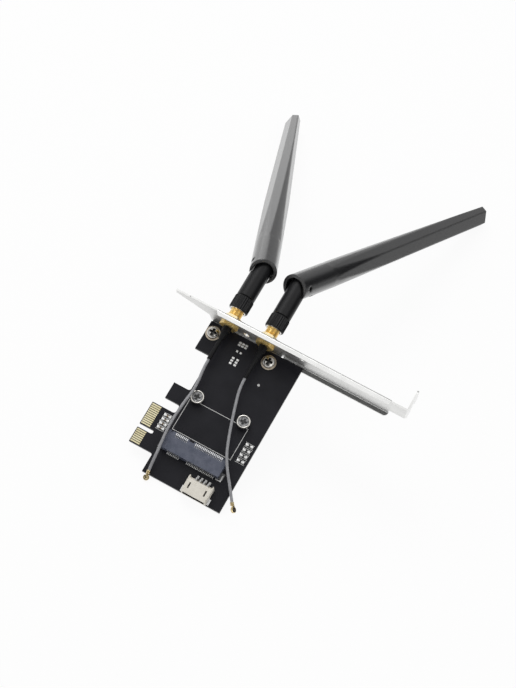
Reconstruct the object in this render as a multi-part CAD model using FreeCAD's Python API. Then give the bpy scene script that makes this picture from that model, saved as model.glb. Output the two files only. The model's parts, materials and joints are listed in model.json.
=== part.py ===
import FreeCAD, Part
import math
import os

# Desktop adapter card that carries a half-size mini card, with a slot bracket and two tilting antennas.
# Card frame: x = 0 at the finger tips, y = 0 at the key notch, z = 0 on the component face.
# x runs from the bracket's tongue to its screw tab, y from the tail of the board to the bracket.
# The card stands like a tent, on the tail edge of the board and on the tips of both antennas.

# Clearances, and how far cutting tools run past a face
FIT = 0.05
RUNNING_CLEAR = 0.05
PRESS_CLEAR = 0.02
OVERCUT = 1.0

# Points along each edge when the resting slope is worked out
EDGE_SAMPLES = 80

# Board
BOARD_THICK = 1.6
MAIN_WIDTH = 40.0
FINGER_REACH = 12.4
TAIL_LENGTH = 17.9
END_LENGTH = 60.0
EAR_REACH = 8.4
EAR_LENGTH = 15.4
HOOK_LENGTH = 8.3
HOOK_GAP = 4.5
HOOK_SLOT_DEPTH = 11.8
LONG_BLOCK = 11.65
SHORT_BLOCK = 7.65
KEY_WIDTH = 1.9
KEY_DEPTH = 7.7
CORNER_R = 1.2
FINGER_BEVEL = 0.4

# Edge contacts
CONTACT_PITCH = 1.0
CONTACT_WIDTH = 0.7
CONTACT_LENGTH = 4.7
CONTACT_THICK = 0.08
LONG_CONTACT_COUNT = 11
SHORT_CONTACT_COUNT = 7

# Slot bracket
PLATE = 0.86
BRACKET_LENGTH = 120.0
BRACKET_WIDTH = 18.42
BRACKET_GAP = 1.2
BRACKET_BELOW = 2.3
TONGUE_LENGTH = 21.9
TONGUE_TIP = 2.8
TONGUE_TIP_DROP = 0.8
TONGUE_STEP = 7.0
TONGUE_WIDTH = 10.2
TONGUE_SHOULDER = 4.6
SHOULDER_SLANT = 1.0
STRIP_LENGTH = 8.7
STRIP_TOP_DROP = 1.8
STRIP_BOTTOM_RISE = 4.6
FLANGE_DEPTH = 2.9
FLANGE_PAST_SCREW = 0.8
FLANGE_CORNER_R = 2.0
BEND_R = 1.2
TAB_DEPTH = 11.43
NOTCH_R = 2.21
NOTCH_INSET = 5.0
NOTCH_DEPTH = 4.6
LUG_WIDTH = 7.0
LUG_RELIEF = 0.8
LUG_PAST_SCREW = 4.2
LUG_BEND_SHARE = 0.9
VENT_R = 1.5
VENT_X = (21.9, 51.0)
VENT_Z = (1.6, 7.6)

# Bracket screws
SCREW_X = (7.7, 37.2)
SCREW_FROM_END = 5.2
SCREW_R = 1.45
SCREW_HEAD_R = 2.9
SCREW_HEAD_HEIGHT = 1.9
SCREW_LENGTH = 3.9
SCREW_WASHER_R = 3.6
SCREW_WASHER_THICK = 0.5
SCREW_CLEAR = 0.15
HEAD_RIM_SHARE = 0.4
HEAD_TOP_SHARE = 0.68
RECESS_WIDTH = 0.8
RECESS_REACH_SHARE = 0.55
RECESS_DEPTH_SHARE = 0.6

# Mini card position
CARD_SPACING = 24.2
CARD_HOLE_Y = 23.6
STANDOFF_R = 2.5
STANDOFF_HEIGHT = 2.4
STANDOFF_PEG_R = 1.6
CARD_SCREW_R = 0.95
CARD_SCREW_HEAD_R = 3.2
CARD_SCREW_HEAD_HEIGHT = 0.9
CARD_SCREW_DEPTH = 2.0

# Mini card socket
SOCKET_WIDTH = 30.0
SOCKET_FROM_RIGHT = 8.0
SOCKET_FRONT = 4.2
SOCKET_DEPTH = 9.0
SOCKET_HEIGHT = 4.0
SOCKET_CHAMFER = 0.4
MOUTH_WIDTH = 26.2
MOUTH_FLOOR = 1.2
MOUTH_HEIGHT = 2.1
MOUTH_DEPTH = 5.0
SOCKET_PITCH = 0.8
SOCKET_GROUPS = (8, 18)
SOCKET_KEY_GAP = 4.4
CONTACT_SHIFT = 0.6
END_NOTCH = 0.9
END_NOTCH_INSET = 1.0
END_NOTCH_DEPTH = 1.2
SOCKET_CONTACT_WIDTH = 0.3
SOCKET_CONTACT_THICK = 0.2
SOCKET_TAIL = 0.75
BEAM_SETBACK = 0.3
BEAM_FROM_BACK = 0.6
COMB_WIDTH = 0.42
COMB_DEPTH = 2.1
KEY_RIB = 1.1
KEY_SLOT = 2.4
KEY_RIB_SETBACK = 0.6
HOLD_DOWN_LENGTH = 3.4
HOLD_DOWN_REACH = 1.8
HOLD_DOWN_HEIGHT = 1.4
HOLD_DOWN_THICK = 0.25
HOLD_DOWN_FROM_BACK = 0.1

# Side-entry cable header
HEADER_WIDTH = 12.6
HEADER_DEPTH = 8.4
HEADER_HEIGHT = 4.9
HEADER_FROM_RIGHT = 13.3
HEADER_PAST_TAIL = 0.3
HEADER_WALL = 0.8
HEADER_BACK = 2.2
HEADER_CHAMFER = 0.3
HEADER_EDGE = 0.4
HEADER_RECESS = 1.4
HEADER_ARM = 0.6
HEADER_SLIT_WIDTH = 0.8
HEADER_SLIT_LENGTH = 2.9
HEADER_SLIT_SPACING = 8.2
HEADER_SLIT_FROM_MOUTH = 3.8
PIN_PITCH = 2.0
PIN_COUNT = 4
PIN_WIDTH = 0.7
PIN_FOOT_THICK = 0.3
PIN_FOOT = 2.1
PIN_LENGTH = 4.6
SIDE_TAB_THICK = 0.3
SIDE_TAB_LENGTH = 3.0
SIDE_TAB_HEIGHT = 2.6
SIDE_TAB_FOOT = 1.0
SIDE_TAB_FROM_MOUTH = 0.6

# Chip parts
CHIP_LENGTH = 1.6
CHIP_WIDTH = 0.8
CHIP_HEIGHT = 0.55
CHIP_EDGE = 0.08
RESISTOR_X = 49.0
RESISTOR_Y = 7.4
RESISTOR_PITCH = 2.75
RESISTOR_COUNT = 4
CAPACITOR_X = 9.6
CAPACITOR_Y = 3.4
CAPACITOR_PITCH = 2.15
CAPACITOR_COUNT = 4

# Bulkhead jacks
JACK_X = 13.2
JACK_SPACING = 19.0
JACK_Z = 4.9
THREAD_R = 3.175
JACK_LENGTH = 11.2
JACK_BORE_R = 2.3
JACK_BORE_DEPTH = 4.2
HEX_FLATS = 8.0
HEX_EASE_SHARE = 0.5
FLANGE_THICK = 2.0
REAR_R = 1.75
REAR_LENGTH = 2.8
CRIMP_R = 1.2
CRIMP_LENGTH = 3.4
WASHER_THICK = 0.6
WASHER_R = 5.0
WASHER_TEETH = 12
TOOTH_GAP_WIDTH = 0.8
TOOTH_GAP_DEPTH = 0.7
NUT_THICK = 2.0
JACK_FLOOR = 0.6
JACK_PIN_GAP = 0.25
CENTER_PIN_R = 0.46
CENTER_PIN_REACH = 3.0

# Coax leads
CABLE_R = 0.68
SLEEVE_WALL = 0.35
SLEEVE_LENGTH = 15.0
SLEEVE_TAPER = 0.6
LEAD_STRAIGHT = 4.6
BEND_SHARE = 0.45
PLUG_R = 1.3
PLUG_HEIGHT = 1.1
PLUG_NECK_WIDTH = 1.5
PLUG_NECK_LENGTH = 2.2
PLUG_NECK_EDGE = 0.35
PLUG_WALL = 0.35
PLUG_ROOF = 0.35
PLUG_PROBE_R = 0.3

# Antennas
COUPLING_R = 4.75
COUPLING_LENGTH = 7.0
COUPLING_OFFSET = 6.4
COUPLING_FLUTES = 28
FLUTE_DEPTH = 0.25
COUPLING_LIP = 1.4
COUPLING_EDGE = 0.5
JOURNAL_R = 2.5
STEM_RING_R = 3.05
STEM_RING_THICK = 0.7
BARREL_R = 4.5
BARREL_LENGTH = 12.6
BARREL_FOOT = 0.4
JOINT_LAP = 0.5
NOSE_R = 2.2
NOSE_LENGTH = 3.2
ANTENNA_CONTACT_R = 0.8
ANTENNA_CONTACT_LENGTH = 9.0
ANTENNA_CONTACT_BORE = 3.6
SHOULDER_TO_HINGE = 5.4
KNUCKLE_FLATS = 8.4
HINGE_PIN_R = 1.2
HINGE_PIN_SINK = 1.3
HINGE_CLEAR = 0.3
POCKET_CLEAR = 0.4
BLADE_WALL = 1.6
BLADE_RIM = 4.2
BLADE_LENGTH = 168.0
FLAT_START = 20.0
TIP_WIDTH = 10.6
TIP_FLAT = 6.6
TIP_THICK = 5.4
RIDGE_SPARE = 0.3
TIP_EDGE = 0.4
RADIATOR_BORE_R = 1.8
RADIATOR_CLEAR = 0.15
RADIATOR_LENGTH = 120.0
RADIATOR_SLEEVE = 48.0
RADIATOR_TIP_R = 0.7
RADIATOR_SETBACK = 1.0
TILT_DEG = 43.2
SPLAY_DEG = 25.3

# Routes of the coax leads over the board, from their straight start to the plug, chosen by hand
COAX_ROUTE_1 = (
    (14.8, 27.0, 5.0),
    (13.7, 17.0, 5.4),
    (13.4, 8.0, 5.9),
    (14.0, -0.5, 6.0),
    (14.9, -7.5, 5.0),
    (15.1, -13.0, 3.3),
    (15.5, -16.9, 2.0),
)
COAX_ROUTE_2 = (
    (35.2, 26.5, 5.1),
    (39.4, 14.0, 5.5),
    (42.9, 5.5, 6.0),
    (47.0, -0.8, 5.7),
    (51.3, -6.2, 4.8),
    (55.6, -11.9, 3.6),
)

# Derived places
BOARD_LEFT = FINGER_REACH
BOARD_RIGHT = FINGER_REACH + MAIN_WIDTH
EAR_LEFT = FINGER_REACH - EAR_REACH
FINGER_TOP = KEY_WIDTH / 2 + LONG_BLOCK
FINGER_BOTTOM = -KEY_WIDTH / 2 - SHORT_BLOCK
HOOK_START = FINGER_TOP + HOOK_GAP
BRACKET_Y = END_LENGTH + BRACKET_GAP
BRACKET_OUT = BRACKET_Y + PLATE
BRACKET_Z0 = -BOARD_THICK - BRACKET_BELOW
BRACKET_Z1 = BRACKET_Z0 + BRACKET_WIDTH
FLANGE_X0 = SCREW_X[0] - FLANGE_PAST_SCREW
FLANGE_X1 = FLANGE_X0 + BRACKET_LENGTH - TONGUE_LENGTH - STRIP_LENGTH
TAB_X = FLANGE_X1 + STRIP_LENGTH
SCREW_Y = END_LENGTH - SCREW_FROM_END
SOCKET_X1 = BOARD_RIGHT - SOCKET_FROM_RIGHT
SOCKET_X0 = SOCKET_X1 - SOCKET_WIDTH
SOCKET_BACK = SOCKET_FRONT - SOCKET_DEPTH
CARD_X = (SOCKET_X0 + SOCKET_X1) / 2
HEADER_X = BOARD_RIGHT - HEADER_FROM_RIGHT
HEADER_Y0 = -TAIL_LENGTH - HEADER_PAST_TAIL
HEADER_Y1 = HEADER_Y0 + HEADER_DEPTH
JACK_XS = (JACK_X, JACK_X + JACK_SPACING)
JACK_END = BRACKET_OUT + JACK_LENGTH
REAR_Y = BRACKET_Y - FLANGE_THICK - REAR_LENGTH
CRIMP_Y = REAR_Y - CRIMP_LENGTH
SLEEVE_Y = REAR_Y - SLEEVE_LENGTH
BORE_Y = BRACKET_Y - FLANGE_THICK + JACK_FLOOR
INSULATOR_END = JACK_END - JACK_BORE_DEPTH
COUPLING_Y0 = BRACKET_OUT + COUPLING_OFFSET
COUPLING_Y1 = COUPLING_Y0 + COUPLING_LENGTH
BARREL_Y0 = COUPLING_Y1 + RUNNING_CLEAR
BARREL_Y1 = BARREL_Y0 + BARREL_LENGTH
HINGE_Y = BARREL_Y1 + SHOULDER_TO_HINGE
POCKET_R = BARREL_R + POCKET_CLEAR
BLADE_POCKET = BARREL_R + HINGE_CLEAR
BLADE_R = POCKET_R + BLADE_WALL
NOSE_Y1 = JACK_END + RUNNING_CLEAR


def vec(x, y, z):
    return FreeCAD.Vector(x, y, z)


def block(x0, x1, y0, y1, z0, z1):
    return Part.makeBox(x1 - x0, y1 - y0, z1 - z0, vec(x0, y0, z0))


def rod_y(x, z, y0, y1, radius):
    return Part.makeCylinder(radius, y1 - y0, vec(x, y0, z), vec(0, 1, 0))


def rod_z(x, y, z0, z1, radius):
    return Part.makeCylinder(radius, z1 - z0, vec(x, y, z0), vec(0, 0, 1))


def rod_x(y, z, x0, x1, radius):
    return Part.makeCylinder(radius, x1 - x0, vec(x0, y, z), vec(1, 0, 0))


def prism(points, travel):
    """Straight-edged profile through the points, pushed along the travel vector."""
    corners = [vec(*p) for p in points]
    face = Part.Face(Part.makePolygon(corners + corners[:1]))
    return face.extrude(travel)


def fused(shapes):
    return shapes[0].multiFuse(shapes[1:]).removeSplitter()


def cut(shape, tools):
    return shape.cut(tools)


def edges_at(shape, test):
    """Straight edges whose middle passes the test."""
    return [e for e in shape.Edges if test(e.valueAt((e.FirstParameter + e.LastParameter) / 2))]


def near(a, b):
    return abs(a - b) < 1e-3


def row(middle, count, pitch):
    """Evenly spaced places centred on the middle."""
    return [middle + (i - (count - 1) / 2) * pitch for i in range(count)]


def circuit_board():
    outline = (
        (BOARD_RIGHT, -TAIL_LENGTH),
        (BOARD_RIGHT, END_LENGTH),
        (EAR_LEFT, END_LENGTH),
        (EAR_LEFT, END_LENGTH - EAR_LENGTH),
        (BOARD_LEFT, END_LENGTH - EAR_LENGTH),
        (BOARD_LEFT, HOOK_START + HOOK_LENGTH),
        (EAR_LEFT, HOOK_START + HOOK_LENGTH),
        (EAR_LEFT, HOOK_START),
        (HOOK_SLOT_DEPTH, HOOK_START),
        (HOOK_SLOT_DEPTH, FINGER_TOP),
        (0, FINGER_TOP),
        (0, FINGER_BOTTOM),
        (BOARD_LEFT, FINGER_BOTTOM),
        (BOARD_LEFT, -TAIL_LENGTH),
    )
    board = prism([(x, y, -BOARD_THICK) for x, y in outline], vec(0, 0, BOARD_THICK))
    inner = (
        (BOARD_LEFT, END_LENGTH - EAR_LENGTH),
        (BOARD_LEFT, HOOK_START + HOOK_LENGTH),
        (BOARD_LEFT, FINGER_BOTTOM),
        (HOOK_SLOT_DEPTH, HOOK_START),
        (HOOK_SLOT_DEPTH, FINGER_TOP),
    )
    rounded = edges_at(board, lambda m: any(near(m.x, x) and near(m.y, y) for x, y in inner))
    board = board.makeFillet(CORNER_R, rounded)
    tips = edges_at(board, lambda m: near(m.x, 0) and not near(m.z, -BOARD_THICK / 2))
    board = board.makeChamfer(FINGER_BEVEL, tips)
    key_end = KEY_DEPTH - KEY_WIDTH / 2
    under = -BOARD_THICK - OVERCUT
    tools = [
        block(-OVERCUT, key_end, -KEY_WIDTH / 2, KEY_WIDTH / 2, under, OVERCUT),
        rod_z(key_end, 0, under, OVERCUT, KEY_WIDTH / 2),
    ]
    for x in SCREW_X:
        tools.append(rod_z(x, SCREW_Y, under, OVERCUT, SCREW_R + SCREW_CLEAR))
    for x in card_hole_xs():
        tools.append(rod_z(x, CARD_HOLE_Y, under, OVERCUT, STANDOFF_PEG_R + FIT))
    return cut(board, tools)


def card_hole_xs():
    return (CARD_X - CARD_SPACING / 2, CARD_X + CARD_SPACING / 2)


def edge_contacts():
    """Plated fingers on both faces, in two rows beside the key notch, each row centred on its block."""
    long_middle = (FINGER_TOP + KEY_WIDTH / 2) / 2
    short_middle = (FINGER_BOTTOM - KEY_WIDTH / 2) / 2
    centres = row(long_middle, LONG_CONTACT_COUNT, CONTACT_PITCH)
    centres += row(short_middle, SHORT_CONTACT_COUNT, CONTACT_PITCH)
    pads = []
    for y in centres:
        low = y - CONTACT_WIDTH / 2
        high = y + CONTACT_WIDTH / 2
        far = FINGER_BEVEL + CONTACT_LENGTH
        pads.append(block(FINGER_BEVEL, far, low, high, 0, CONTACT_THICK))
        pads.append(block(FINGER_BEVEL, far, low, high, -BOARD_THICK - CONTACT_THICK, -BOARD_THICK))
    return pads


def channel(x0, x1, y0, y1, z0, z1):
    """Plate with both long edges folded towards the card."""
    bar = block(x0, x1, y0, y1, z0, z1)
    bar = bar.makeFillet(BEND_R, edges_at(bar, lambda m: near(m.y, y1) and near(m.x, (x0 + x1) / 2)))
    corners = edges_at(bar, lambda m: near(m.y, y0) and near(m.z, (z0 + z1) / 2))
    bar = bar.makeFillet(FLANGE_CORNER_R, corners)
    inside = block(x0 - OVERCUT, x1 + OVERCUT, y0 - OVERCUT, y1 - PLATE, z0 + PLATE, z1 - PLATE)
    creases = edges_at(inside, lambda m: near(m.y, y1 - PLATE) and near(m.x, (x0 + x1) / 2))
    return cut(bar, [inside.makeFillet(BEND_R - PLATE, creases)])


def tongue_plate():
    """Pointed plate that drops into the slot of the case."""
    root_top = BRACKET_Z1 - BEND_R
    root_bottom = BRACKET_Z0 + BEND_R
    tip_x = FLANGE_X0 - TONGUE_LENGTH
    tip_top = root_top - TONGUE_TIP_DROP
    shoulder_x = FLANGE_X0 - TONGUE_SHOULDER
    step_x = tip_x + TONGUE_STEP
    outline = (
        (FLANGE_X0 + PLATE, root_top),
        (step_x + TONGUE_TIP_DROP, root_top),
        (step_x, tip_top),
        (tip_x, tip_top),
        (tip_x, tip_top - TONGUE_TIP),
        (shoulder_x, root_top - TONGUE_WIDTH),
        (shoulder_x + SHOULDER_SLANT, root_bottom),
        (FLANGE_X0 + PLATE, root_bottom),
    )
    return prism([(x, BRACKET_Y, z) for x, z in outline], vec(0, PLATE, 0))


def screw_tab():
    """Narrow strip that ends in a tab bent outwards, with an open notch for the case screw."""
    top = BRACKET_Z1 - STRIP_TOP_DROP
    bottom = BRACKET_Z0 + STRIP_BOTTOM_RISE
    out = BRACKET_OUT + TAB_DEPTH - PLATE
    angle = fused([
        block(FLANGE_X1 - PLATE, TAB_X, BRACKET_Y, BRACKET_OUT, bottom, top),
        block(TAB_X - PLATE, TAB_X, BRACKET_Y, out, bottom, top),
    ])
    fold = edges_at(angle, lambda m: near(m.y, BRACKET_Y) and near(m.x, TAB_X))
    angle = angle.makeFillet(BEND_R, fold)
    crease = edges_at(angle, lambda m: near(m.y, BRACKET_OUT) and near(m.x, TAB_X - PLATE))
    angle = angle.makeFillet(BEND_R - PLATE, crease)
    rounded = edges_at(angle, lambda m: near(m.y, out) and near(m.x, TAB_X - PLATE / 2))
    angle = angle.makeFillet(FLANGE_CORNER_R, rounded)
    notch_y = out - NOTCH_INSET
    notch_z = bottom + NOTCH_DEPTH - NOTCH_R
    x0 = TAB_X - PLATE - OVERCUT
    x1 = TAB_X + OVERCUT
    return cut(angle, [
        rod_x(notch_y, notch_z, x0, x1, NOTCH_R),
        block(x0, x1, notch_y - NOTCH_R, notch_y + NOTCH_R, bottom - OVERCUT, notch_z),
    ])


def bracket():
    lug_z = -BOARD_THICK - PLATE
    lug_y = SCREW_Y - LUG_PAST_SCREW
    flange_y = BRACKET_OUT - FLANGE_DEPTH
    half = LUG_WIDTH / 2
    reach = half + LUG_RELIEF
    inside = BRACKET_Y - OVERCUT
    outside = BRACKET_OUT + OVERCUT
    sheet = fused([
        channel(FLANGE_X0, FLANGE_X1, flange_y, BRACKET_OUT, BRACKET_Z0, BRACKET_Z1),
        tongue_plate(),
        screw_tab(),
    ])
    reliefs = []
    lugs = []
    for x in SCREW_X:
        reliefs.append(block(x - reach, x + reach, flange_y - OVERCUT, outside, BRACKET_Z0 - OVERCUT, lug_z))
        plate = block(x - half, x + half, lug_y, BRACKET_OUT, lug_z, -BOARD_THICK)
        ends = edges_at(plate, lambda m: near(m.y, lug_y) and near(m.z, lug_z + PLATE / 2))
        plate = plate.makeFillet(FLANGE_CORNER_R, ends)
        fold = edges_at(plate, lambda m: near(m.y, BRACKET_OUT) and near(m.z, lug_z))
        lugs.append(plate.makeFillet(PLATE * LUG_BEND_SHARE, fold))
    sheet = fused([cut(sheet, reliefs)] + lugs)
    holes = [rod_z(x, SCREW_Y, lug_z - OVERCUT, OVERCUT, SCREW_R + FIT) for x in SCREW_X]
    holes += [rod_y(x, JACK_Z, inside, outside, THREAD_R + FIT) for x in JACK_XS]
    holes += [rod_y(x, z, inside, outside, VENT_R) for x, z in zip(VENT_X, VENT_Z)]
    return cut(sheet, holes)


def cross_recess(x, y, z, reach, width, depth):
    """Two crossed blocks that cut a driver recess down from height z."""
    arms = []
    for dx, dy in ((reach, width / 2), (width / 2, reach)):
        arms.append(block(x - dx, x + dx, y - dy, y + dy, z - depth, z + OVERCUT))
    return arms


def pan_screw(x, y, seat, shank_r, length, head_r, head_height):
    """Screw that stands on its seat height: a plain shank and a head that slopes in to a flat top."""
    rim = head_height * HEAD_RIM_SHARE
    head = fused([
        rod_z(x, y, seat, seat + rim, head_r),
        Part.makeCone(head_r, head_r * HEAD_TOP_SHARE, head_height - rim, vec(x, y, seat + rim)),
        rod_z(x, y, seat - length, seat, shank_r),
    ])
    recess = cross_recess(x, y, seat + head_height, head_r * RECESS_REACH_SHARE, RECESS_WIDTH,
                          head_height * RECESS_DEPTH_SHARE)
    return cut(head, recess)


def bracket_screws():
    seat = SCREW_WASHER_THICK
    return [pan_screw(x, SCREW_Y, seat, SCREW_R, SCREW_LENGTH, SCREW_HEAD_R, SCREW_HEAD_HEIGHT)
            for x in SCREW_X]


def bracket_washers():
    rings = []
    for x in SCREW_X:
        disc = rod_z(x, SCREW_Y, 0, SCREW_WASHER_THICK, SCREW_WASHER_R)
        rings.append(cut(disc, [rod_z(x, SCREW_Y, -OVERCUT, OVERCUT, SCREW_R + SCREW_CLEAR)]))
    return rings


def mini_card_standoffs():
    posts = []
    for x in card_hole_xs():
        post = fused([
            rod_z(x, CARD_HOLE_Y, 0, STANDOFF_HEIGHT, STANDOFF_R),
            rod_z(x, CARD_HOLE_Y, -BOARD_THICK, 0, STANDOFF_PEG_R),
        ])
        bore = rod_z(x, CARD_HOLE_Y, -BOARD_THICK - OVERCUT, STANDOFF_HEIGHT + OVERCUT, CARD_SCREW_R + FIT)
        posts.append(cut(post, [bore]))
    return posts


def mini_card_screws():
    return [pan_screw(x, CARD_HOLE_Y, STANDOFF_HEIGHT, CARD_SCREW_R, CARD_SCREW_DEPTH,
                      CARD_SCREW_HEAD_R, CARD_SCREW_HEAD_HEIGHT)
            for x in card_hole_xs()]


def socket_contact_groups():
    """Centre lines of the socket's contacts, the short group first."""
    short, long = SOCKET_GROUPS
    span = (short - 1 + long - 1) * SOCKET_PITCH + SOCKET_KEY_GAP
    start = CARD_X + CONTACT_SHIFT - span / 2
    first = [start + i * SOCKET_PITCH for i in range(short)]
    second = [first[-1] + SOCKET_KEY_GAP + i * SOCKET_PITCH for i in range(long)]
    return first, second


def mini_card_socket():
    groups = socket_contact_groups()
    ceiling = MOUTH_FLOOR + MOUTH_HEIGHT
    body = block(SOCKET_X0, SOCKET_X1, SOCKET_BACK, SOCKET_FRONT, 0, SOCKET_HEIGHT)
    verticals = edges_at(body, lambda m: near(m.z, SOCKET_HEIGHT / 2))
    body = body.makeChamfer(SOCKET_CHAMFER, verticals)
    half = MOUTH_WIDTH / 2
    mouth_y = SOCKET_FRONT - MOUTH_DEPTH
    front = SOCKET_FRONT + OVERCUT
    tools = [block(CARD_X - half, CARD_X + half, mouth_y, front, MOUTH_FLOOR, ceiling)]
    beam_z = ceiling - SOCKET_CONTACT_THICK
    side = SOCKET_PITCH / 2
    comb = COMB_WIDTH / 2
    for group in groups:
        tools.append(block(group[0] - side, group[-1] + side, SOCKET_BACK - OVERCUT, mouth_y + OVERCUT,
                           beam_z, ceiling))
        for x in group:
            tools.append(block(x - comb, x + comb, SOCKET_FRONT - COMB_DEPTH, front,
                               beam_z, SOCKET_HEIGHT + OVERCUT))
    for x in (SOCKET_X0 + END_NOTCH_INSET, SOCKET_X1 - END_NOTCH_INSET - END_NOTCH):
        tools.append(block(x, x + END_NOTCH, SOCKET_FRONT - END_NOTCH, front,
                           SOCKET_HEIGHT - END_NOTCH_DEPTH, SOCKET_HEIGHT + OVERCUT))
    key_x = (groups[0][-1] + groups[1][0]) / 2
    key_half = KEY_SLOT / 2
    tools.append(block(key_x - key_half, key_x + key_half, SOCKET_FRONT - END_NOTCH, front,
                       ceiling, SOCKET_HEIGHT + OVERCUT))
    body = cut(body, tools)
    rib = block(key_x - KEY_RIB / 2, key_x + KEY_RIB / 2, mouth_y, SOCKET_FRONT - KEY_RIB_SETBACK,
                MOUTH_FLOOR, ceiling)
    return fused([body, rib])


def socket_contacts():
    """Lower contacts come out in front of the housing, upper ones behind it."""
    t = SOCKET_CONTACT_THICK
    ceiling = MOUTH_FLOOR + MOUTH_HEIGHT
    inner = SOCKET_FRONT - MOUTH_DEPTH + BEAM_FROM_BACK
    tip = SOCKET_FRONT - BEAM_SETBACK
    front = (
        (SOCKET_FRONT + SOCKET_TAIL, 0),
        (SOCKET_FRONT + SOCKET_TAIL, t),
        (SOCKET_FRONT + t, t),
        (SOCKET_FRONT + t, MOUTH_FLOOR + t),
        (inner, MOUTH_FLOOR + t),
        (inner, MOUTH_FLOOR),
        (SOCKET_FRONT, MOUTH_FLOOR),
        (SOCKET_FRONT, 0),
    )
    rear = (
        (SOCKET_BACK - SOCKET_TAIL, 0),
        (SOCKET_BACK - SOCKET_TAIL, t),
        (SOCKET_BACK - t, t),
        (SOCKET_BACK - t, ceiling),
        (tip, ceiling),
        (tip, ceiling - t),
        (SOCKET_BACK, ceiling - t),
        (SOCKET_BACK, 0),
    )
    springs = []
    for group in socket_contact_groups():
        for x in group:
            for profile in (front, rear):
                points = [(x - SOCKET_CONTACT_WIDTH / 2, y, z) for y, z in profile]
                springs.append(prism(points, vec(SOCKET_CONTACT_WIDTH, 0, 0)))
    return springs


def socket_hold_downs():
    """Bent solder tabs at both ends of the socket, towards its back."""
    tabs = []
    y0 = SOCKET_BACK + HOLD_DOWN_FROM_BACK
    y1 = y0 + HOLD_DOWN_LENGTH
    t = HOLD_DOWN_THICK
    for side, x in ((-1, SOCKET_X0), (1, SOCKET_X1)):
        profile = (
            (x, 0),
            (x + side * HOLD_DOWN_REACH, 0),
            (x + side * HOLD_DOWN_REACH, t),
            (x + side * t, t),
            (x + side * t, HOLD_DOWN_HEIGHT),
            (x, HOLD_DOWN_HEIGHT),
        )
        tabs.append(prism([(px, y0, pz) for px, pz in profile], vec(0, y1 - y0, 0)))
    return tabs


def usb_header():
    half = HEADER_WIDTH / 2
    c = HEADER_CHAMFER
    outline = (
        (HEADER_X - half, HEADER_Y0),
        (HEADER_X + half, HEADER_Y0),
        (HEADER_X + half, HEADER_Y1 - c),
        (HEADER_X + half - c, HEADER_Y1),
        (HEADER_X - half + c, HEADER_Y1),
        (HEADER_X - half, HEADER_Y1 - c),
    )
    body = prism([(x, y, 0) for x, y in outline], vec(0, 0, HEADER_HEIGHT))
    rim = edges_at(body, lambda m: near(m.z, HEADER_HEIGHT) and near(abs(m.x - HEADER_X), half))
    body = body.makeChamfer(HEADER_EDGE, rim)
    w = HEADER_WALL
    back = HEADER_Y1 - HEADER_BACK
    ceiling = HEADER_HEIGHT - w
    tools = [block(HEADER_X - half + w, HEADER_X + half - w, HEADER_Y0 - OVERCUT, back, w, ceiling)]
    slit_y = HEADER_Y0 + HEADER_SLIT_FROM_MOUTH
    slit = HEADER_SLIT_WIDTH / 2
    reach = HEADER_SLIT_LENGTH / 2
    for x in row(HEADER_X, 2, HEADER_SLIT_SPACING):
        tools.append(block(x - slit, x + slit, slit_y - reach, slit_y + reach,
                           ceiling - OVERCUT, HEADER_HEIGHT + OVERCUT))
    arm = half - HEADER_ARM
    tools.append(block(HEADER_X - arm, HEADER_X + arm, HEADER_Y1 - HEADER_RECESS, HEADER_Y1 + OVERCUT,
                       w, HEADER_HEIGHT + OVERCUT))
    pin_z = HEADER_HEIGHT / 2
    r = PIN_WIDTH / 2
    for x in header_pin_xs():
        tools.append(block(x - r, x + r, back - OVERCUT, HEADER_Y1 + OVERCUT, pin_z - r, pin_z + r))
    return cut(body, tools)


def header_pin_xs():
    return row(HEADER_X, PIN_COUNT, PIN_PITCH)


def usb_header_pins():
    """Square pins in the cavity, bent down behind the housing to a foot on the board."""
    r = PIN_WIDTH / 2
    pin_z = HEADER_HEIGHT / 2
    tip = HEADER_Y1 - HEADER_BACK - PIN_LENGTH
    profile = (
        (tip, pin_z - r),
        (HEADER_Y1, pin_z - r),
        (HEADER_Y1, 0),
        (HEADER_Y1 + PIN_FOOT, 0),
        (HEADER_Y1 + PIN_FOOT, PIN_FOOT_THICK),
        (HEADER_Y1 + PIN_WIDTH, PIN_FOOT_THICK),
        (HEADER_Y1 + PIN_WIDTH, pin_z + r),
        (tip, pin_z + r),
    )
    return [prism([(x - r, y, z) for y, z in profile], vec(PIN_WIDTH, 0, 0)) for x in header_pin_xs()]


def usb_header_tabs():
    tabs = []
    t = SIDE_TAB_THICK
    y0 = HEADER_Y0 + SIDE_TAB_FROM_MOUTH
    for side in (-1, 1):
        x = HEADER_X + side * HEADER_WIDTH / 2
        profile = (
            (x, 0),
            (x + side * SIDE_TAB_FOOT, 0),
            (x + side * SIDE_TAB_FOOT, t),
            (x + side * t, t),
            (x + side * t, SIDE_TAB_HEIGHT),
            (x, SIDE_TAB_HEIGHT),
        )
        tabs.append(prism([(px, y0, pz) for px, pz in profile], vec(0, SIDE_TAB_LENGTH, 0)))
    return tabs


def chip(x, y):
    body = block(x - CHIP_LENGTH / 2, x + CHIP_LENGTH / 2, y - CHIP_WIDTH / 2, y + CHIP_WIDTH / 2,
                 0, CHIP_HEIGHT)
    return body.makeChamfer(CHIP_EDGE, edges_at(body, lambda m: near(m.z, CHIP_HEIGHT)))


def chip_resistors():
    return [chip(RESISTOR_X, RESISTOR_Y + i * RESISTOR_PITCH) for i in range(RESISTOR_COUNT)]


def chip_capacitors():
    return [chip(CAPACITOR_X, CAPACITOR_Y + i * CAPACITOR_PITCH) for i in range(CAPACITOR_COUNT)]


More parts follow.
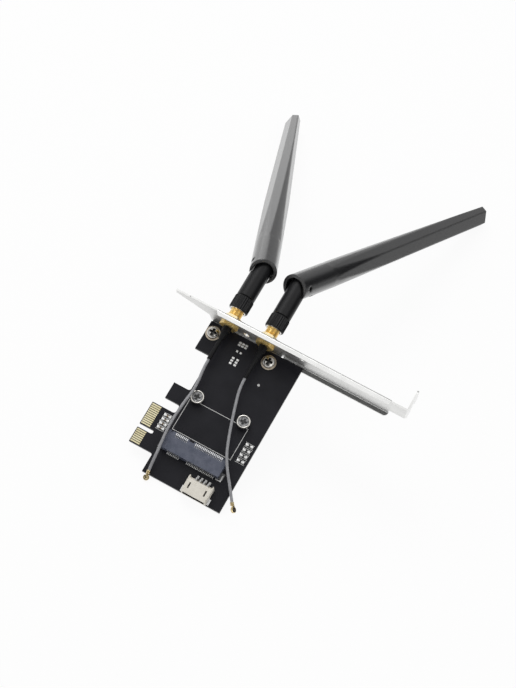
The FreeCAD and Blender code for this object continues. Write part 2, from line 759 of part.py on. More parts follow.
def hexagon(x, z, y0, y1, flats):
    """Hexagonal bar along y with a flat towards the board, its corners turned off."""
    corner = flats / math.sqrt(3)
    points = []
    for i in range(6):
        a = math.radians(60 * i)
        points.append((x + corner * math.cos(a), y0, z + corner * math.sin(a)))
    bar = prism(points, vec(0, y1 - y0, 0))
    ease = (corner - flats / 2) * HEX_EASE_SHARE
    turned = Part.makeCone(corner - ease, corner + (y1 - y0), y1 - y0 + ease, vec(x, y0, z), vec(0, 1, 0))
    turned_back = Part.makeCone(corner + (y1 - y0), corner - ease, y1 - y0 + ease,
                                vec(x, y0 - ease, z), vec(0, 1, 0))
    return bar.common(turned).common(turned_back)


def sma_jack(x):
    flange_y = BRACKET_Y - FLANGE_THICK
    body = fused([
        hexagon(x, JACK_Z, flange_y, BRACKET_Y, HEX_FLATS),
        rod_y(x, JACK_Z, BRACKET_Y, JACK_END, THREAD_R),
        rod_y(x, JACK_Z, REAR_Y, flange_y, REAR_R),
        rod_y(x, JACK_Z, CRIMP_Y, REAR_Y, CRIMP_R),
    ])
    return cut(body, [
        rod_y(x, JACK_Z, BORE_Y, JACK_END + OVERCUT, JACK_BORE_R),
        rod_y(x, JACK_Z, CRIMP_Y - OVERCUT, BORE_Y + OVERCUT, CENTER_PIN_R + JACK_PIN_GAP),
    ])


def sma_insulator(x):
    plug = rod_y(x, JACK_Z, BORE_Y, INSULATOR_END, JACK_BORE_R - FIT)
    hole = rod_y(x, JACK_Z, BORE_Y - OVERCUT, INSULATOR_END + OVERCUT, CENTER_PIN_R + PRESS_CLEAR)
    return cut(plug, [hole])


def sma_center_contact(x):
    return rod_y(x, JACK_Z, REAR_Y, INSULATOR_END + CENTER_PIN_REACH, CENTER_PIN_R)


def sma_lock_washer(x):
    """Thin ring with teeth around its inner edge."""
    y0 = BRACKET_OUT - OVERCUT
    y1 = BRACKET_OUT + WASHER_THICK + OVERCUT
    inner = THREAD_R + FIT
    ring = rod_y(x, JACK_Z, BRACKET_OUT, BRACKET_OUT + WASHER_THICK, WASHER_R)
    gaps = [rod_y(x, JACK_Z, y0, y1, inner)]
    for i in range(WASHER_TEETH):
        gap = block(0, inner + TOOTH_GAP_DEPTH, y0, y1, -TOOTH_GAP_WIDTH / 2, TOOTH_GAP_WIDTH / 2)
        gap.rotate(vec(0, 0, 0), vec(0, 1, 0), i * 360 / WASHER_TEETH)
        gap.translate(vec(x, 0, JACK_Z))
        gaps.append(gap)
    return cut(ring, gaps)


def sma_nut(x):
    y0 = BRACKET_OUT + WASHER_THICK
    bar = hexagon(x, JACK_Z, y0, y0 + NUT_THICK, HEX_FLATS)
    return cut(bar, [rod_y(x, JACK_Z, y0 - OVERCUT, y0 + NUT_THICK + OVERCUT, THREAD_R + FIT)])


def cable_sleeve(x):
    """Sleeve shrunk tight over the jack's rear and crimp, closed round the start of the lead."""
    flange_y = BRACKET_Y - FLANGE_THICK
    root = REAR_R + SLEEVE_WALL
    wide = CRIMP_R + SLEEVE_WALL
    slim = CABLE_R + SLEEVE_WALL
    body = rod_y(x, JACK_Z, SLEEVE_Y, flange_y, slim)
    for radius, start in ((wide, CRIMP_Y), (root, REAR_Y)):
        step = start - SLEEVE_TAPER
        body = fused([
            body,
            Part.makeCone(slim, radius, SLEEVE_TAPER, vec(x, step, JACK_Z), vec(0, 1, 0)),
            rod_y(x, JACK_Z, start, flange_y, radius),
        ])
    return cut(body, [
        rod_y(x, JACK_Z, CRIMP_Y, flange_y + OVERCUT, CRIMP_R + FIT),
        rod_y(x, JACK_Z, REAR_Y - FIT, flange_y + OVERCUT, REAR_R + FIT),
    ])


def lead_points(x, route):
    """A straight start out of the sleeve, then the route over the board."""
    start = [vec(x, SLEEVE_Y, JACK_Z), vec(x, SLEEVE_Y - LEAD_STRAIGHT, JACK_Z)]
    return start + [vec(*p) for p in route]


def coax_cable(name, x, route):
    """Round lead of straight runs joined by tangent arcs, as wide as the shorter run allows."""
    points = lead_points(x, route)
    edges = []
    radii = []
    start = points[0]
    for before, corner, after in zip(points, points[1:], points[2:]):
        incoming = (corner - before).normalize()
        outgoing = (after - corner).normalize()
        turn = incoming.getAngle(outgoing)
        shorter = min(corner.distanceToPoint(before), corner.distanceToPoint(after))
        trim = BEND_SHARE * shorter
        radii.append(trim / math.tan(turn / 2))
        first = corner - incoming * trim
        last = corner + outgoing * trim
        inward = (outgoing - incoming).normalize()
        middle = corner + inward * (radii[-1] / math.cos(turn / 2) - radii[-1])
        edges.append(Part.LineSegment(start, first).toShape())
        edges.append(Part.Arc(first, middle, last).toShape())
        start = last
    edges.append(Part.LineSegment(start, points[-1]).toShape())
    path = Part.Wire(edges)
    profile = Part.Wire(Part.Circle(points[0], points[1] - points[0], CABLE_R).toShape())
    tube = path.makePipeShell([profile], True, False)
    ideal = math.pi * CABLE_R ** 2 * path.Length
    print(name, "length", round(path.Length, 1), "volume ratio", round(tube.Volume / ideal, 4),
          "radii", [round(r, 1) for r in radii])
    return tube


def coax_plug(route):
    """Push-on plug: a crimp neck on the lead's end and a round cap that opens downwards."""
    end = vec(*route[-1])
    along = end - vec(*route[-2])
    heading = math.degrees(math.atan2(along.y, along.x))
    pitch = math.degrees(math.atan2(along.z, math.hypot(along.x, along.y)))
    half = PLUG_NECK_WIDTH / 2
    cap_x = PLUG_NECK_LENGTH + PLUG_R - PLUG_WALL
    top = PLUG_HEIGHT - half
    cap = rod_z(cap_x, 0, -half, top, PLUG_R)
    neck = block(0, cap_x, -half, half, -half, half)
    neck = neck.makeChamfer(PLUG_NECK_EDGE, edges_at(neck, lambda m: near(m.x, cap_x / 2)))
    mouth = rod_z(cap_x, 0, -half - OVERCUT, top - PLUG_ROOF, PLUG_R - PLUG_WALL)
    probe = rod_z(cap_x, 0, -half, top, PLUG_PROBE_R)
    plug = fused([cut(fused([cap, neck]), [mouth]), probe])
    plug.rotate(vec(0, 0, 0), vec(0, 1, 0), -pitch)
    plug.rotate(vec(0, 0, 0), vec(0, 0, 1), heading)
    plug.translate(end)
    return plug


def coupling_nut(x):
    """Fluted collar that screws onto the jack and holds the antenna's stem by a lip."""
    points = []
    for i in range(2 * COUPLING_FLUTES):
        radius = COUPLING_R - FLUTE_DEPTH * (i % 2)
        a = math.pi * i / COUPLING_FLUTES
        points.append((x + radius * math.cos(a), COUPLING_Y0, JACK_Z + radius * math.sin(a)))
    collar = prism(points, vec(0, COUPLING_LENGTH, 0))
    y0 = COUPLING_Y0 - OVERCUT
    reach = COUPLING_R - COUPLING_EDGE - OVERCUT
    length = COUPLING_LENGTH + 2 * OVERCUT
    for start, out in ((y0, 1), (y0 + length, -1)):
        easing = Part.makeCone(reach, reach + length, length, vec(x, start, JACK_Z), vec(0, out, 0))
        collar = collar.common(easing)
    lip_y = COUPLING_Y1 - COUPLING_LIP
    return cut(collar, [
        rod_y(x, JACK_Z, COUPLING_Y0 - OVERCUT, lip_y, THREAD_R + RUNNING_CLEAR),
        rod_y(x, JACK_Z, lip_y - OVERCUT, COUPLING_Y1 + OVERCUT, JOURNAL_R + RUNNING_CLEAR),
    ])


def antenna_base():
    """Stem along y with its hinge at the origin: nose, retaining ring, barrel and domed hinge knuckle."""
    def local(y):
        return y - HINGE_Y

    ring_y = local(COUPLING_Y1) - COUPLING_LIP - RUNNING_CLEAR - STEM_RING_THICK
    barrel = rod_y(0, 0, local(BARREL_Y0), local(BARREL_Y1), BARREL_R)
    barrel = barrel.makeChamfer(BARREL_FOOT, edges_at(barrel, lambda m: near(m.y, local(BARREL_Y0))))
    half = KNUCKLE_FLATS / 2
    root = local(BARREL_Y1) - JOINT_LAP
    dome = fused([rod_y(0, 0, root, 0, BARREL_R), Part.makeSphere(BARREL_R)])
    knuckle = dome.common(block(-half, half, root, BARREL_R, -BARREL_R, BARREL_R))
    stem = fused([
        rod_y(0, 0, local(NOSE_Y1) - NOSE_LENGTH, local(NOSE_Y1), NOSE_R),
        rod_y(0, 0, local(NOSE_Y1), ring_y + STEM_RING_THICK, STEM_RING_R),
        rod_y(0, 0, ring_y, local(BARREL_Y0) + JOINT_LAP, JOURNAL_R),
        barrel,
        knuckle,
    ])
    nose = local(NOSE_Y1) - NOSE_LENGTH
    return cut(stem, [
        rod_x(0, 0, -half - OVERCUT, half + OVERCUT, HINGE_PIN_R + RUNNING_CLEAR),
        rod_y(0, 0, nose - OVERCUT, nose + ANTENNA_CONTACT_LENGTH, ANTENNA_CONTACT_R + PRESS_CLEAR),
    ])


def antenna_contact():
    nose = NOSE_Y1 - NOSE_LENGTH - HINGE_Y
    tube = rod_y(0, 0, nose, nose + ANTENNA_CONTACT_LENGTH, ANTENNA_CONTACT_R)
    bore = rod_y(0, 0, nose - OVERCUT, nose + ANTENNA_CONTACT_BORE, CENTER_PIN_R + RUNNING_CLEAR)
    return cut(tube, [bore])


def blade_flats(reach, turn=0):
    """Wedges that take two opposite sides of the blade down to a reach from its axis at the tip."""
    outer = BLADE_R + OVERCUT
    wedges = []
    for side in (-1, 1):
        points = (
            (side * BLADE_R, FLAT_START),
            (side * reach, BLADE_LENGTH),
            (side * outer, BLADE_LENGTH),
            (side * outer, FLAT_START),
        )
        wedge = prism([(x, y, -outer) for x, y in points], vec(0, 0, 2 * outer))
        wedge.rotate(vec(0, 0, 0), vec(0, 1, 0), turn)
        wedges.append(wedge)
    return wedges


def antenna_blade():
    """Blade along y with its hinge at the origin: round base with a pocket and slot for the knuckle,
    and six flats that make a long hexagon of the tip, with a ridge along each narrow side."""
    half = TIP_THICK / 2
    ridge = TIP_WIDTH / 2
    lean = math.atan2(half, ridge - TIP_FLAT / 2)
    slope = ridge * math.sin(lean)
    lean_deg = math.degrees(lean)
    tip_r = ridge + RIDGE_SPARE
    body = fused([
        rod_y(0, 0, -BLADE_RIM, FLAT_START, BLADE_R),
        Part.makeCone(BLADE_R, tip_r, BLADE_LENGTH - FLAT_START, vec(0, FLAT_START, 0), vec(0, 1, 0)),
    ])
    body = cut(body, blade_flats(half) + blade_flats(slope, lean_deg) + blade_flats(slope, -lean_deg))
    body = body.makeChamfer(TIP_EDGE, edges_at(body, lambda m: near(m.y, BLADE_LENGTH)))
    slot = BARREL_R + HINGE_CLEAR
    tools = [
        rod_y(0, 0, -BLADE_RIM - OVERCUT, BLADE_POCKET, POCKET_R),
        block(-slot, slot, -BLADE_RIM - OVERCUT, BLADE_POCKET, -BLADE_R - OVERCUT, 0),
        rod_x(0, 0, -BLADE_R - OVERCUT, BLADE_R + OVERCUT, HINGE_PIN_R + PRESS_CLEAR),
        rod_y(0, 0, BLADE_POCKET - OVERCUT, BLADE_POCKET + RADIATOR_LENGTH, RADIATOR_BORE_R),
    ]
    return cut(body, tools)


def hinge_pin():
    reach = BLADE_R - HINGE_PIN_SINK
    return rod_x(0, 0, -reach, reach, HINGE_PIN_R)


def radiator():
    """Stepped dipole: a wide sleeve near the hinge and a thin whip towards the tip."""
    start = BLADE_POCKET + RADIATOR_SETBACK
    step = start + RADIATOR_SLEEVE
    return fused([
        rod_y(0, 0, start, step, RADIATOR_BORE_R - RADIATOR_CLEAR),
        rod_y(0, 0, step, BLADE_POCKET + RADIATOR_LENGTH, RADIATOR_TIP_R),
    ])


def place_antenna(shape, x, splay, tilt):
    """Tilt about the hinge, turn about the jack's axis, and move to the jack."""
    placed = shape.copy()
    placed.rotate(vec(0, 0, 0), vec(1, 0, 0), -tilt)
    placed.rotate(vec(0, 0, 0), vec(0, 1, 0), splay)
    placed.translate(vec(x, HINGE_Y, JACK_Z))
    return placed


def card_nodes():
    """All pieces in the card frame, by name."""
    nodes = {
        "circuit_board": [circuit_board()],
        "edge_contacts": edge_contacts(),
        "bracket": [bracket()],
        "bracket_screws": bracket_screws(),
        "bracket_washers": bracket_washers(),
        "mini_card_standoffs": mini_card_standoffs(),
        "mini_card_screws": mini_card_screws(),
        "mini_card_socket": [mini_card_socket()],
        "socket_contacts": socket_contacts(),
        "socket_hold_downs": socket_hold_downs(),
        "usb_header": [usb_header()],
        "usb_header_pins": usb_header_pins(),
        "usb_header_tabs": usb_header_tabs(),
        "chip_resistors": chip_resistors(),
        "chip_capacitors": chip_capacitors(),
    }
    splays = (SPLAY_DEG, -SPLAY_DEG)
    routes = (COAX_ROUTE_1, COAX_ROUTE_2)
    for number, x, splay, route in zip((1, 2), JACK_XS, splays, routes):
        nodes[f"sma_jack_{number}"] = [sma_jack(x)]
        nodes[f"sma_insulator_{number}"] = [sma_insulator(x)]
        nodes[f"sma_center_contact_{number}"] = [sma_center_contact(x)]
        nodes[f"sma_lock_washer_{number}"] = [sma_lock_washer(x)]
        nodes[f"sma_nut_{number}"] = [sma_nut(x)]
        nodes[f"cable_sleeve_{number}"] = [cable_sleeve(x)]
        nodes[f"coax_cable_{number}"] = [coax_cable(f"coax_cable_{number}", x, route)]
        nodes[f"coax_plug_{number}"] = [coax_plug(route)]
        nodes[f"coupling_nut_{number}"] = [coupling_nut(x)]
        nodes[f"antenna_base_{number}"] = [place_antenna(antenna_base(), x, splay, 0)]
        nodes[f"antenna_contact_{number}"] = [place_antenna(antenna_contact(), x, splay, 0)]
        nodes[f"antenna_blade_{number}"] = [place_antenna(antenna_blade(), x, splay, TILT_DEG)]
        nodes[f"hinge_pin_{number}"] = [place_antenna(hinge_pin(), x, splay, TILT_DEG)]
        nodes[f"radiator_{number}"] = [place_antenna(radiator(), x, splay, TILT_DEG)]
    return nodes


def stand_slope(blades):
    """Angle of the board over the floor that touches its tail edge and the tips of the blades."""
    drops = []
    for blade in blades:
        for edge in blade.Edges:
            for p in edge.discretize(EDGE_SAMPLES):
                drops.append(math.atan2(-BOARD_THICK - p.z, p.y + TAIL_LENGTH))
    return math.degrees(max(drops))


def is_lead(name):
    return name.startswith("coax_")


def standing_nodes():
    """Pieces on the floor, with the origin under the middle of the object, its leads left out."""
    nodes = {name: Part.makeCompound(solids) for name, solids in card_nodes().items()}
    slope = stand_slope([nodes["antenna_blade_1"], nodes["antenna_blade_2"]])
    for shape in nodes.values():
        shape.rotate(vec(0, -TAIL_LENGTH, -BOARD_THICK), vec(1, 0, 0), slope)
    box = FreeCAD.BoundBox()
    for name, shape in nodes.items():
        if not is_lead(name):
            box.add(shape.optimalBoundingBox(False))
    shift = vec(-box.Center.x, -box.Center.y, -box.ZMin)
    for shape in nodes.values():
        shape.translate(shift)
    return nodes, slope, shift


def main():
    os.makedirs("parts", exist_ok=True)
    nodes, slope, shift = standing_nodes()
    print("board slope", round(slope, 3), "shift", [round(c, 3) for c in shift])
    for name, shape in nodes.items():
        if not shape.isValid():
            print("not valid:", name)
        shape.exportStep(f"parts/{name}.step")


main()
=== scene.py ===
import json
import math

import bmesh
import bpy
from mathutils import Matrix, Vector

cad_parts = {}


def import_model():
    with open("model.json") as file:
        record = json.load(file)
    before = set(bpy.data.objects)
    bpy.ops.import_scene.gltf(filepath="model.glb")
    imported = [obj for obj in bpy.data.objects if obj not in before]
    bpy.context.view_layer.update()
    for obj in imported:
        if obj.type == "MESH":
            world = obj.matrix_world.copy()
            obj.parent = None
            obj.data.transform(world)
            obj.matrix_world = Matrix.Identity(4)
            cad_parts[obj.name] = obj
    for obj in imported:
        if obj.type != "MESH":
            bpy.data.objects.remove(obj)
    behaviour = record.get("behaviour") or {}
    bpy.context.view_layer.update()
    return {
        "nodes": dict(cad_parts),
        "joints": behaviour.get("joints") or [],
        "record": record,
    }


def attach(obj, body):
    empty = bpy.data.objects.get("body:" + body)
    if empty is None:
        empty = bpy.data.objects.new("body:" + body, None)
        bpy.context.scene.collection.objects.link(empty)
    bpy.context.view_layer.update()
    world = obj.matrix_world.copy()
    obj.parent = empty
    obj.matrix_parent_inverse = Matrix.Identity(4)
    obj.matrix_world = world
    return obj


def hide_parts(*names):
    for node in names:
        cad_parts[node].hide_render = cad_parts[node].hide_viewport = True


# Looks of the adapter card. Sizes are in millimetres in the card frame, as in the part's source:
# x = 0 at the finger tips, y = 0 at the key notch, z = 0 on the component face.
MM = 0.001
TAU = 2 * math.pi

# Photograph and camera, fitted to the corners of the board, the bracket and the antenna tips
PHOTO_HEIGHT = 688
SENSOR_WIDTH = 36.0
FOCAL_PIXELS = 1600.0
CAMERA_FROM = (149.30, -159.45, 696.49)
CAMERA_AT = (28.441, 60.436, 0.0)
CAMERA_ROLL_DEG = 30.700

# Place of the edge connector's mount, which ties the card frame to the record
EDGE_MOUNT = (0.0, 2.0, -0.8)

# Print on the board
FILM = 0.03
FILM_EDGE = FILM / 3

# White outline of the mini card's place
SILK_LEFT = 14.4
SILK_RIGHT = 44.6
SILK_FRONT = 5.75
SILK_BACK = 22.3
SILK_WIDTH = 0.26
CHIP_SILK_WIDTH = 0.2
CHIP_SILK_HALF = (2.25, 0.98)
FIDUCIAL = (38.5, 43.0)
FIDUCIAL_R = 0.62
FIDUCIAL_SEGMENTS = 32

# Bare pads above the mini card, as (columns, rows, half sizes)
BARE_PADS = (
    ((21.1, 22.75, 24.4), (57.0, 55.8), (0.64, 0.46)),
    ((21.8, 23.7), (52.6,), (0.5, 0.5)),
    ((21.8, 24.1), (48.9, 47.5, 46.1), (0.64, 0.5)),
)
PAD_HEIGHT = 0.09
PAD_CELLS = 10
PAD_SQUARE = 8

# Chip parts and their solder
CHIP_LENGTH = 1.6
CHIP_WIDTH = 0.8
CHIP_HEIGHT = 0.55
CHIP_CAP = 0.42
CHIP_CAP_PROUD = 0.03
CHIP_CAP_EDGE = 2 * CHIP_CAP_PROUD
CHIP_PAD_REACH = 1.35
CHIP_PAD_HALF = (0.62, 0.7)
CHIP_SOLDER_HEIGHT = 0.38
RESISTOR_X = 49.0
RESISTOR_YS = (7.4, 10.15, 12.9, 15.65)
CAPACITOR_X = 9.6
CAPACITOR_YS = (3.4, 5.55, 7.7, 9.85)

# Bracket screws and mini card screws
SCREW_XS = (7.7, 37.2)
SCREW_Y = 54.8
SCREW_R = 1.45
SCREW_LENGTH = 3.9
SCREW_PITCH = 0.5
SCREW_THREAD_DEPTH = 0.22
SCREW_TIP_LENGTH = 0.25
SCREW_TIP_STEP = 0.4
SCREW_NECK_LENGTH = 0.3
SCREW_NECK_STEP = 0.2
SCREW_NECK_EDGE = 0.1
SCREW_HEAD_R = 2.9
SCREW_HEAD_HEIGHT = 1.9
SCREW_RIM = 0.45
SCREW_HEAD_EDGE = 0.1
SCREW_DOME_POWER = 2.4
WASHER_R = 3.6
WASHER_BORE = 1.6
WASHER_THICK = 0.5
WASHER_EDGE = 0.14
CARD_SCREW_XS = (17.3, 41.5)
CARD_SCREW_Y = 23.6
STANDOFF_HEIGHT = 2.4
CARD_SCREW_R = 0.95
CARD_SCREW_DEPTH = 2.0
CARD_SCREW_HEAD_R = 3.2
CARD_SCREW_HEAD_HEIGHT = 0.9
CARD_SCREW_DISH_R = 2.5
CARD_SCREW_DISH = 0.22
CARD_SCREW_DISH_THICK = 0.36
CARD_SCREW_DISH_GAP = 0.1
CARD_SCREW_DISH_EDGE = (0.12, 0.03)
CARD_SCREW_EDGE = 0.12

# Rounding of the mini card screws' rims: drop below the top, and inset from the head or spread from the dish
CARD_SCREW_RIM = ((0.25, 0.0), (0.07, 0.1), (0.0, 0.28))
CARD_SCREW_LIP = ((0.0, 0.25), (0.06, 0.05))

# Cross recesses as (reach, width, depth), the share of the width that their walls take, and the share of
# the depth from which their faces take a darker finish as painted shade
CARD_SCREW_RECESS = (1.45, 0.75, 0.3)
SCREW_RECESS = (1.7, 0.85, 1.25)
RECESS_WALL = 0.45
RECESS_SHADE_FROM = 0.35
HEAD_SEGMENTS = 96
HEAD_ROWS = 26
HEAD_CENTRE_R = 0.02

# Mini card socket: first contact and count of each group, and where the contacts show
SOCKET_GROUPS = ((18.2, 8), (28.2, 18))
SOCKET_PITCH = 0.8
COMB_Y = (3.0, 4.2)
COMB_Z = (3.2, 3.96)
COMB_HALF = 0.23
COMB_EDGE = 0.05
TAIL_PAD_Y = -5.25
TAIL_PAD_HALF = (0.24, 0.5)
TAIL_PAD_HEIGHT = 0.3
CORNER_TABS = (
    ((43.1, -5.45), (45.9, -4.9)),
    ((45.3, -4.9), (45.9, -2.2)),
    ((12.9, -5.3), (14.4, -4.9)),
)
CORNER_TAB_HEIGHT = 0.28
CORNER_TAB_EDGE = 0.08

# Solder over the feet of the header's pins
HEADER_PIN_XS = (36.1, 38.1, 40.1, 42.1)
HEADER_FOOT_Y = -8.6
HEADER_FOOT_HALF = (0.58, 1.1)
HEADER_FOOT_HEIGHT = 0.44

# Painted shade in the header's mouth: the box of the mouth, and the thickness of the dark sheets that line
# it where there is only shade
HEADER_MOUTH = ((33.65, -18.15, 0.82), (44.55, -12.05, 4.08))
HEADER_MOUTH_SHADE_THICK = 0.05

# Bracket's sheet: extra roughness of its face towards the board, the tone of painted shade on the fold below
# the board, and how squarely a face has to look that way
WEB_DULL = 0.3
WEB_FACING = (0.9, 0.96)
FOLD_PAINTED_SHADE = (0.3, 0.3, 0.3, 1)
FOLD_SHADE_FACING = (0.85, 0.95)

# Board's cut edges, where a face looks less than this along the board's thickness
EDGE_FACING = (0.4, 0.6)

# Bulkhead jacks
JACK_XS = (13.2, 32.2)
JACK_Z = 4.9
BRACKET_Y = 61.2
BRACKET_OUT = 62.06
FLANGE_Y = 59.2
REAR_Y = 56.4
REAR_R = 1.75
REAR_EDGE = 0.2
CRIMP_Y = 53.0
CRIMP_R = 1.2
HEX_FLATS = 8.0
HEX_EASE = 0.3
THREAD_R = 3.175
THREAD_PITCH = 0.7056
THREAD_DEPTH = 0.38
THREAD_STEPS = 8
THREAD_GAP = 0.05
JACK_END = 73.26
JACK_EDGE = 0.3
BORE_R = 2.3
BORE_FLOOR = 68.8
JACK_SEGMENTS = 72

# Bright ring in the mouth of each coupling nut
COUPLING_Y0 = 68.46
MOUTH_RING_OUT = 4.0
MOUTH_RING_IN = 3.35
MOUTH_RING_PROUD = 0.16
MOUTH_RING_EDGE = 0.1

# Coax leads: the same route points as the part's source
CABLE_R = 0.68
CABLE_ROUNDING = 5
CABLE_ORDER = 3
CABLE_STEPS = 16
COAX_ROUTES = (
    (
        (13.2, 41.4, 4.9),
        (13.2, 36.8, 4.9),
        (14.8, 27.0, 5.0),
        (13.7, 17.0, 5.4),
        (13.4, 8.0, 5.9),
        (14.0, -0.5, 6.0),
        (14.9, -7.5, 5.0),
        (15.1, -13.0, 3.3),
        (15.5, -16.9, 2.0),
    ),
    (
        (32.2, 41.4, 4.9),
        (32.2, 36.8, 4.9),
        (35.2, 26.5, 5.1),
        (39.4, 14.0, 5.5),
        (42.9, 5.5, 6.0),
        (47.0, -0.8, 5.7),
        (51.3, -6.2, 4.8),
        (55.6, -11.9, 3.6),
    ),
)
COAX_LENGTHS_M = (0.0591, 0.0594)

# Push-on plugs at the ends of the leads, along the lead and upwards from its middle line
PLUG_CAP_X = 3.15
PLUG_CAP_ROWS = (
    (-0.7, 0.28),
    (0.0, 0.28),
    (0.0, 1.12),
    (-0.75, 1.12),
    (-0.75, 1.28),
    (-0.66, 1.4),
    (-0.22, 1.4),
    (-0.14, 1.28),
    (0.0, 1.28),
    (0.08, 1.4),
    (0.22, 1.4),
    (0.35, 1.26),
    (0.35, 0.8),
    (0.27, 0.68),
)
# Dark insulator filling the cap's mouth: partly the plug's real insulator, partly painted shade of the deep
# mouth
PLUG_INSULATOR_SHADE_ROWS = (
    (-0.6, 0.3),
    (-0.66, 1.1),
    (-0.05, 1.1),
    (-0.05, 0.3),
)
PLUG_CRIMP_ROWS = (
    (-0.3, 0.7),
    (-0.3, 0.86),
    (-0.2, 0.95),
    (0.3, 0.95),
    (0.42, 0.82),
    (0.62, 0.82),
    (0.74, 0.95),
    (1.15, 0.95),
    (1.27, 0.82),
    (1.27, 0.6),
)
PLUG_NECK = ((1.1, -0.62, -0.7), (2.3, 0.62, 0.12))
PLUG_NECK_EDGE = 0.14
PLUG_ROLLS_DEG = (0, 130)
PLUG_CRIMP_SEGMENTS = 32
PLUG_CAP_SEGMENTS = 48

# Easing of the blades' edges
BLADE_EASE = 1.3

# Noise of the finishes: its octaves, and the values between which it mostly lies
NOISE_DETAIL = 3.0
NOISE_EDGE = (0.3, 0.7)
METAL = {"Metallic": 1.0}

# Stage, in metres in the row frame. The floor glows white to the camera. Surfaces that mirror it see it
# dimmer towards the shaded side, and there they see a dark card above it.
FLOOR_HALF = 4.0
FLOOR_COLOUR = (0.9, 0.9, 0.9, 1)
FLOOR_GLOW = 0.93
FLOOR_GLOSS = (1.0, 0.42)
SHADE_TOWARD = (0.87, 0.49, 0.0)
FLOOR_SHADE_EDGE = (0.07, 0.12)
WORLD_SHADE = 0.04
WORLD_SHADE_EDGE = (0.6, 0.9)
WORLD_SIDE = 0.5
WORLD_TOP = 1.1
WORLD_TOP_EDGE = (0.55, 1.0)
WORLD_GAP = 0.1
WORLD_GAP_TOWARD = (0.16, -0.65, 0.74)
WORLD_GAP_EDGE = (0.80, 0.91)

# Softboxes as (name, place, width, height, watts), all aimed at one place
LIGHTS_AIM = (0.0, 0.0, 0.05)
SOFTBOXES = (
    ("key", (-0.7, 0.5, 1.1), 0.8, 0.8, 6.5),
    ("fill", (0.9, -0.7, 0.9), 0.9, 0.9, 2.6),
    ("back", (-0.80, 0.89, 0.16), 0.9, 0.4, 1.05),
)


def card_matrix(frame):
    """Turns card millimetres into the row frame's metres, from the record's own axes."""
    joints = {joint["name"]: joint for joint in frame["joints"]}
    mounts = {mount["name"]: mount for mount in frame["record"]["mounts"]}
    x_axis = Vector((1, 0, 0))
    y_axis = Vector(joints["antenna_1_swivel"]["axis"]).normalized()
    z_axis = x_axis.cross(y_axis)
    turn = Matrix((x_axis, y_axis, z_axis)).transposed()
    origin = Vector(mounts["edge_connector"]["pos_m"]) - turn @ (Vector(EDGE_MOUNT) * MM)
    return Matrix.Translation(origin) @ turn.to_4x4() @ Matrix.Scale(MM, 4)


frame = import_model()
CARD = card_matrix(frame)


def card(place):
    """A place on the card in the row frame."""
    return CARD @ Vector(place)


def card_direction(direction):
    """A direction on the card in the row frame."""
    return (CARD.to_3x3() @ Vector(direction)).normalized()


# Materials

def tone(red, green, blue):
    """Linear colour of an sRGB tone given in 0 to 255."""
    channels = []
    for value in (red, green, blue):
        share = value / 255
        linear = share / 12.92 if share <= 0.04045 else ((share + 0.055) / 1.055) ** 2.4
        channels.append(linear)
    return (*channels, 1.0)


def component(tree, source, axis):
    """How far a vector output reaches along an axis."""
    node = tree.nodes.new("ShaderNodeVectorMath")
    node.operation = "DOT_PRODUCT"
    node.inputs[1].default_value = axis
    tree.links.new(source, node.inputs[0])
    return node.outputs["Value"]


def ramp(tree, source, edge, low, high, smooth=True):
    """Maps a value between two edges onto a range, whose ends may be outputs of other nodes."""
    node = tree.nodes.new("ShaderNodeMapRange")
    if smooth:
        node.interpolation_type = "SMOOTHSTEP"
    tree.links.new(source, node.inputs["Value"])
    for socket, value in zip(("From Min", "From Max", "To Min", "To Max"), (*edge, low, high)):
        if isinstance(value, bpy.types.NodeSocket):
            tree.links.new(value, node.inputs[socket])
        else:
            node.inputs[socket].default_value = value
    return node.outputs["Result"]


def calculated(tree, operation, *sources):
    """Result of a sum on one or two values."""
    node = tree.nodes.new("ShaderNodeMath")
    node.operation = operation
    for source, socket in zip(sources, node.inputs):
        tree.links.new(source, socket)
    return node.outputs["Value"]


class Finish:
    """A material round one Principled shader, with helpers for its texture nodes."""

    def __init__(self, name, **sockets):
        self.material = bpy.data.materials.new(name)
        self.material.use_nodes = True
        self.tree = self.material.node_tree
        self.nodes = self.tree.nodes
        self.links = self.tree.links
        self.shader = self.nodes["Principled BSDF"]
        self.coords = self.nodes.new("ShaderNodeTexCoord")
        for socket, value in sockets.items():
            self.shader.inputs[socket.replace("_", " ")].default_value = value

    def noise(self, scale, stretch=(1, 1, 1)):
        """Noise over the object's own coordinates, in features per metre."""
        mapping = self.nodes.new("ShaderNodeMapping")
        mapping.inputs["Scale"].default_value = stretch
        self.links.new(self.coords.outputs["Object"], mapping.inputs["Vector"])
        noise = self.nodes.new("ShaderNodeTexNoise")
        noise.inputs["Scale"].default_value = scale
        noise.inputs["Detail"].default_value = NOISE_DETAIL
        self.links.new(mapping.outputs["Vector"], noise.inputs["Vector"])
        return noise.outputs["Fac"]

    def spread(self, source, low=0, high=1, edge=NOISE_EDGE):
        """Maps a noise value onto a range."""
        return ramp(self.tree, source, edge, low, high, smooth=False)

    def facing(self, direction):
        """How far a face looks along a direction of the card, from its true normal."""
        normal = self.nodes.new("ShaderNodeNewGeometry").outputs["True Normal"]
        return component(self.tree, normal, card_direction(direction))

    def mix(self, factor, first, second):
        """Colour between two tones or colour outputs."""
        node = self.nodes.new("ShaderNodeMix")
        node.data_type = "RGBA"
        sockets = [s for s in node.inputs if s.type == "RGBA"]
        for socket, value in zip(sockets, (first, second)):
            if isinstance(value, bpy.types.NodeSocket):
                self.links.new(value, socket)
            else:
                socket.default_value = value
        self.links.new(factor, node.inputs[0])
        return next(s for s in node.outputs if s.type == "RGBA")

    def set(self, socket, output):
        self.links.new(output, self.shader.inputs[socket])

    def bump(self, source, depth):
        """Fine relief of the given depth in millimetres."""
        node = self.nodes.new("ShaderNodeBump")
        node.inputs["Distance"].default_value = depth * MM
        node.inputs["Strength"].default_value = 1.0
        self.links.new(source, node.inputs["Height"])
        self.links.new(node.outputs["Normal"], self.shader.inputs["Normal"])
        return node


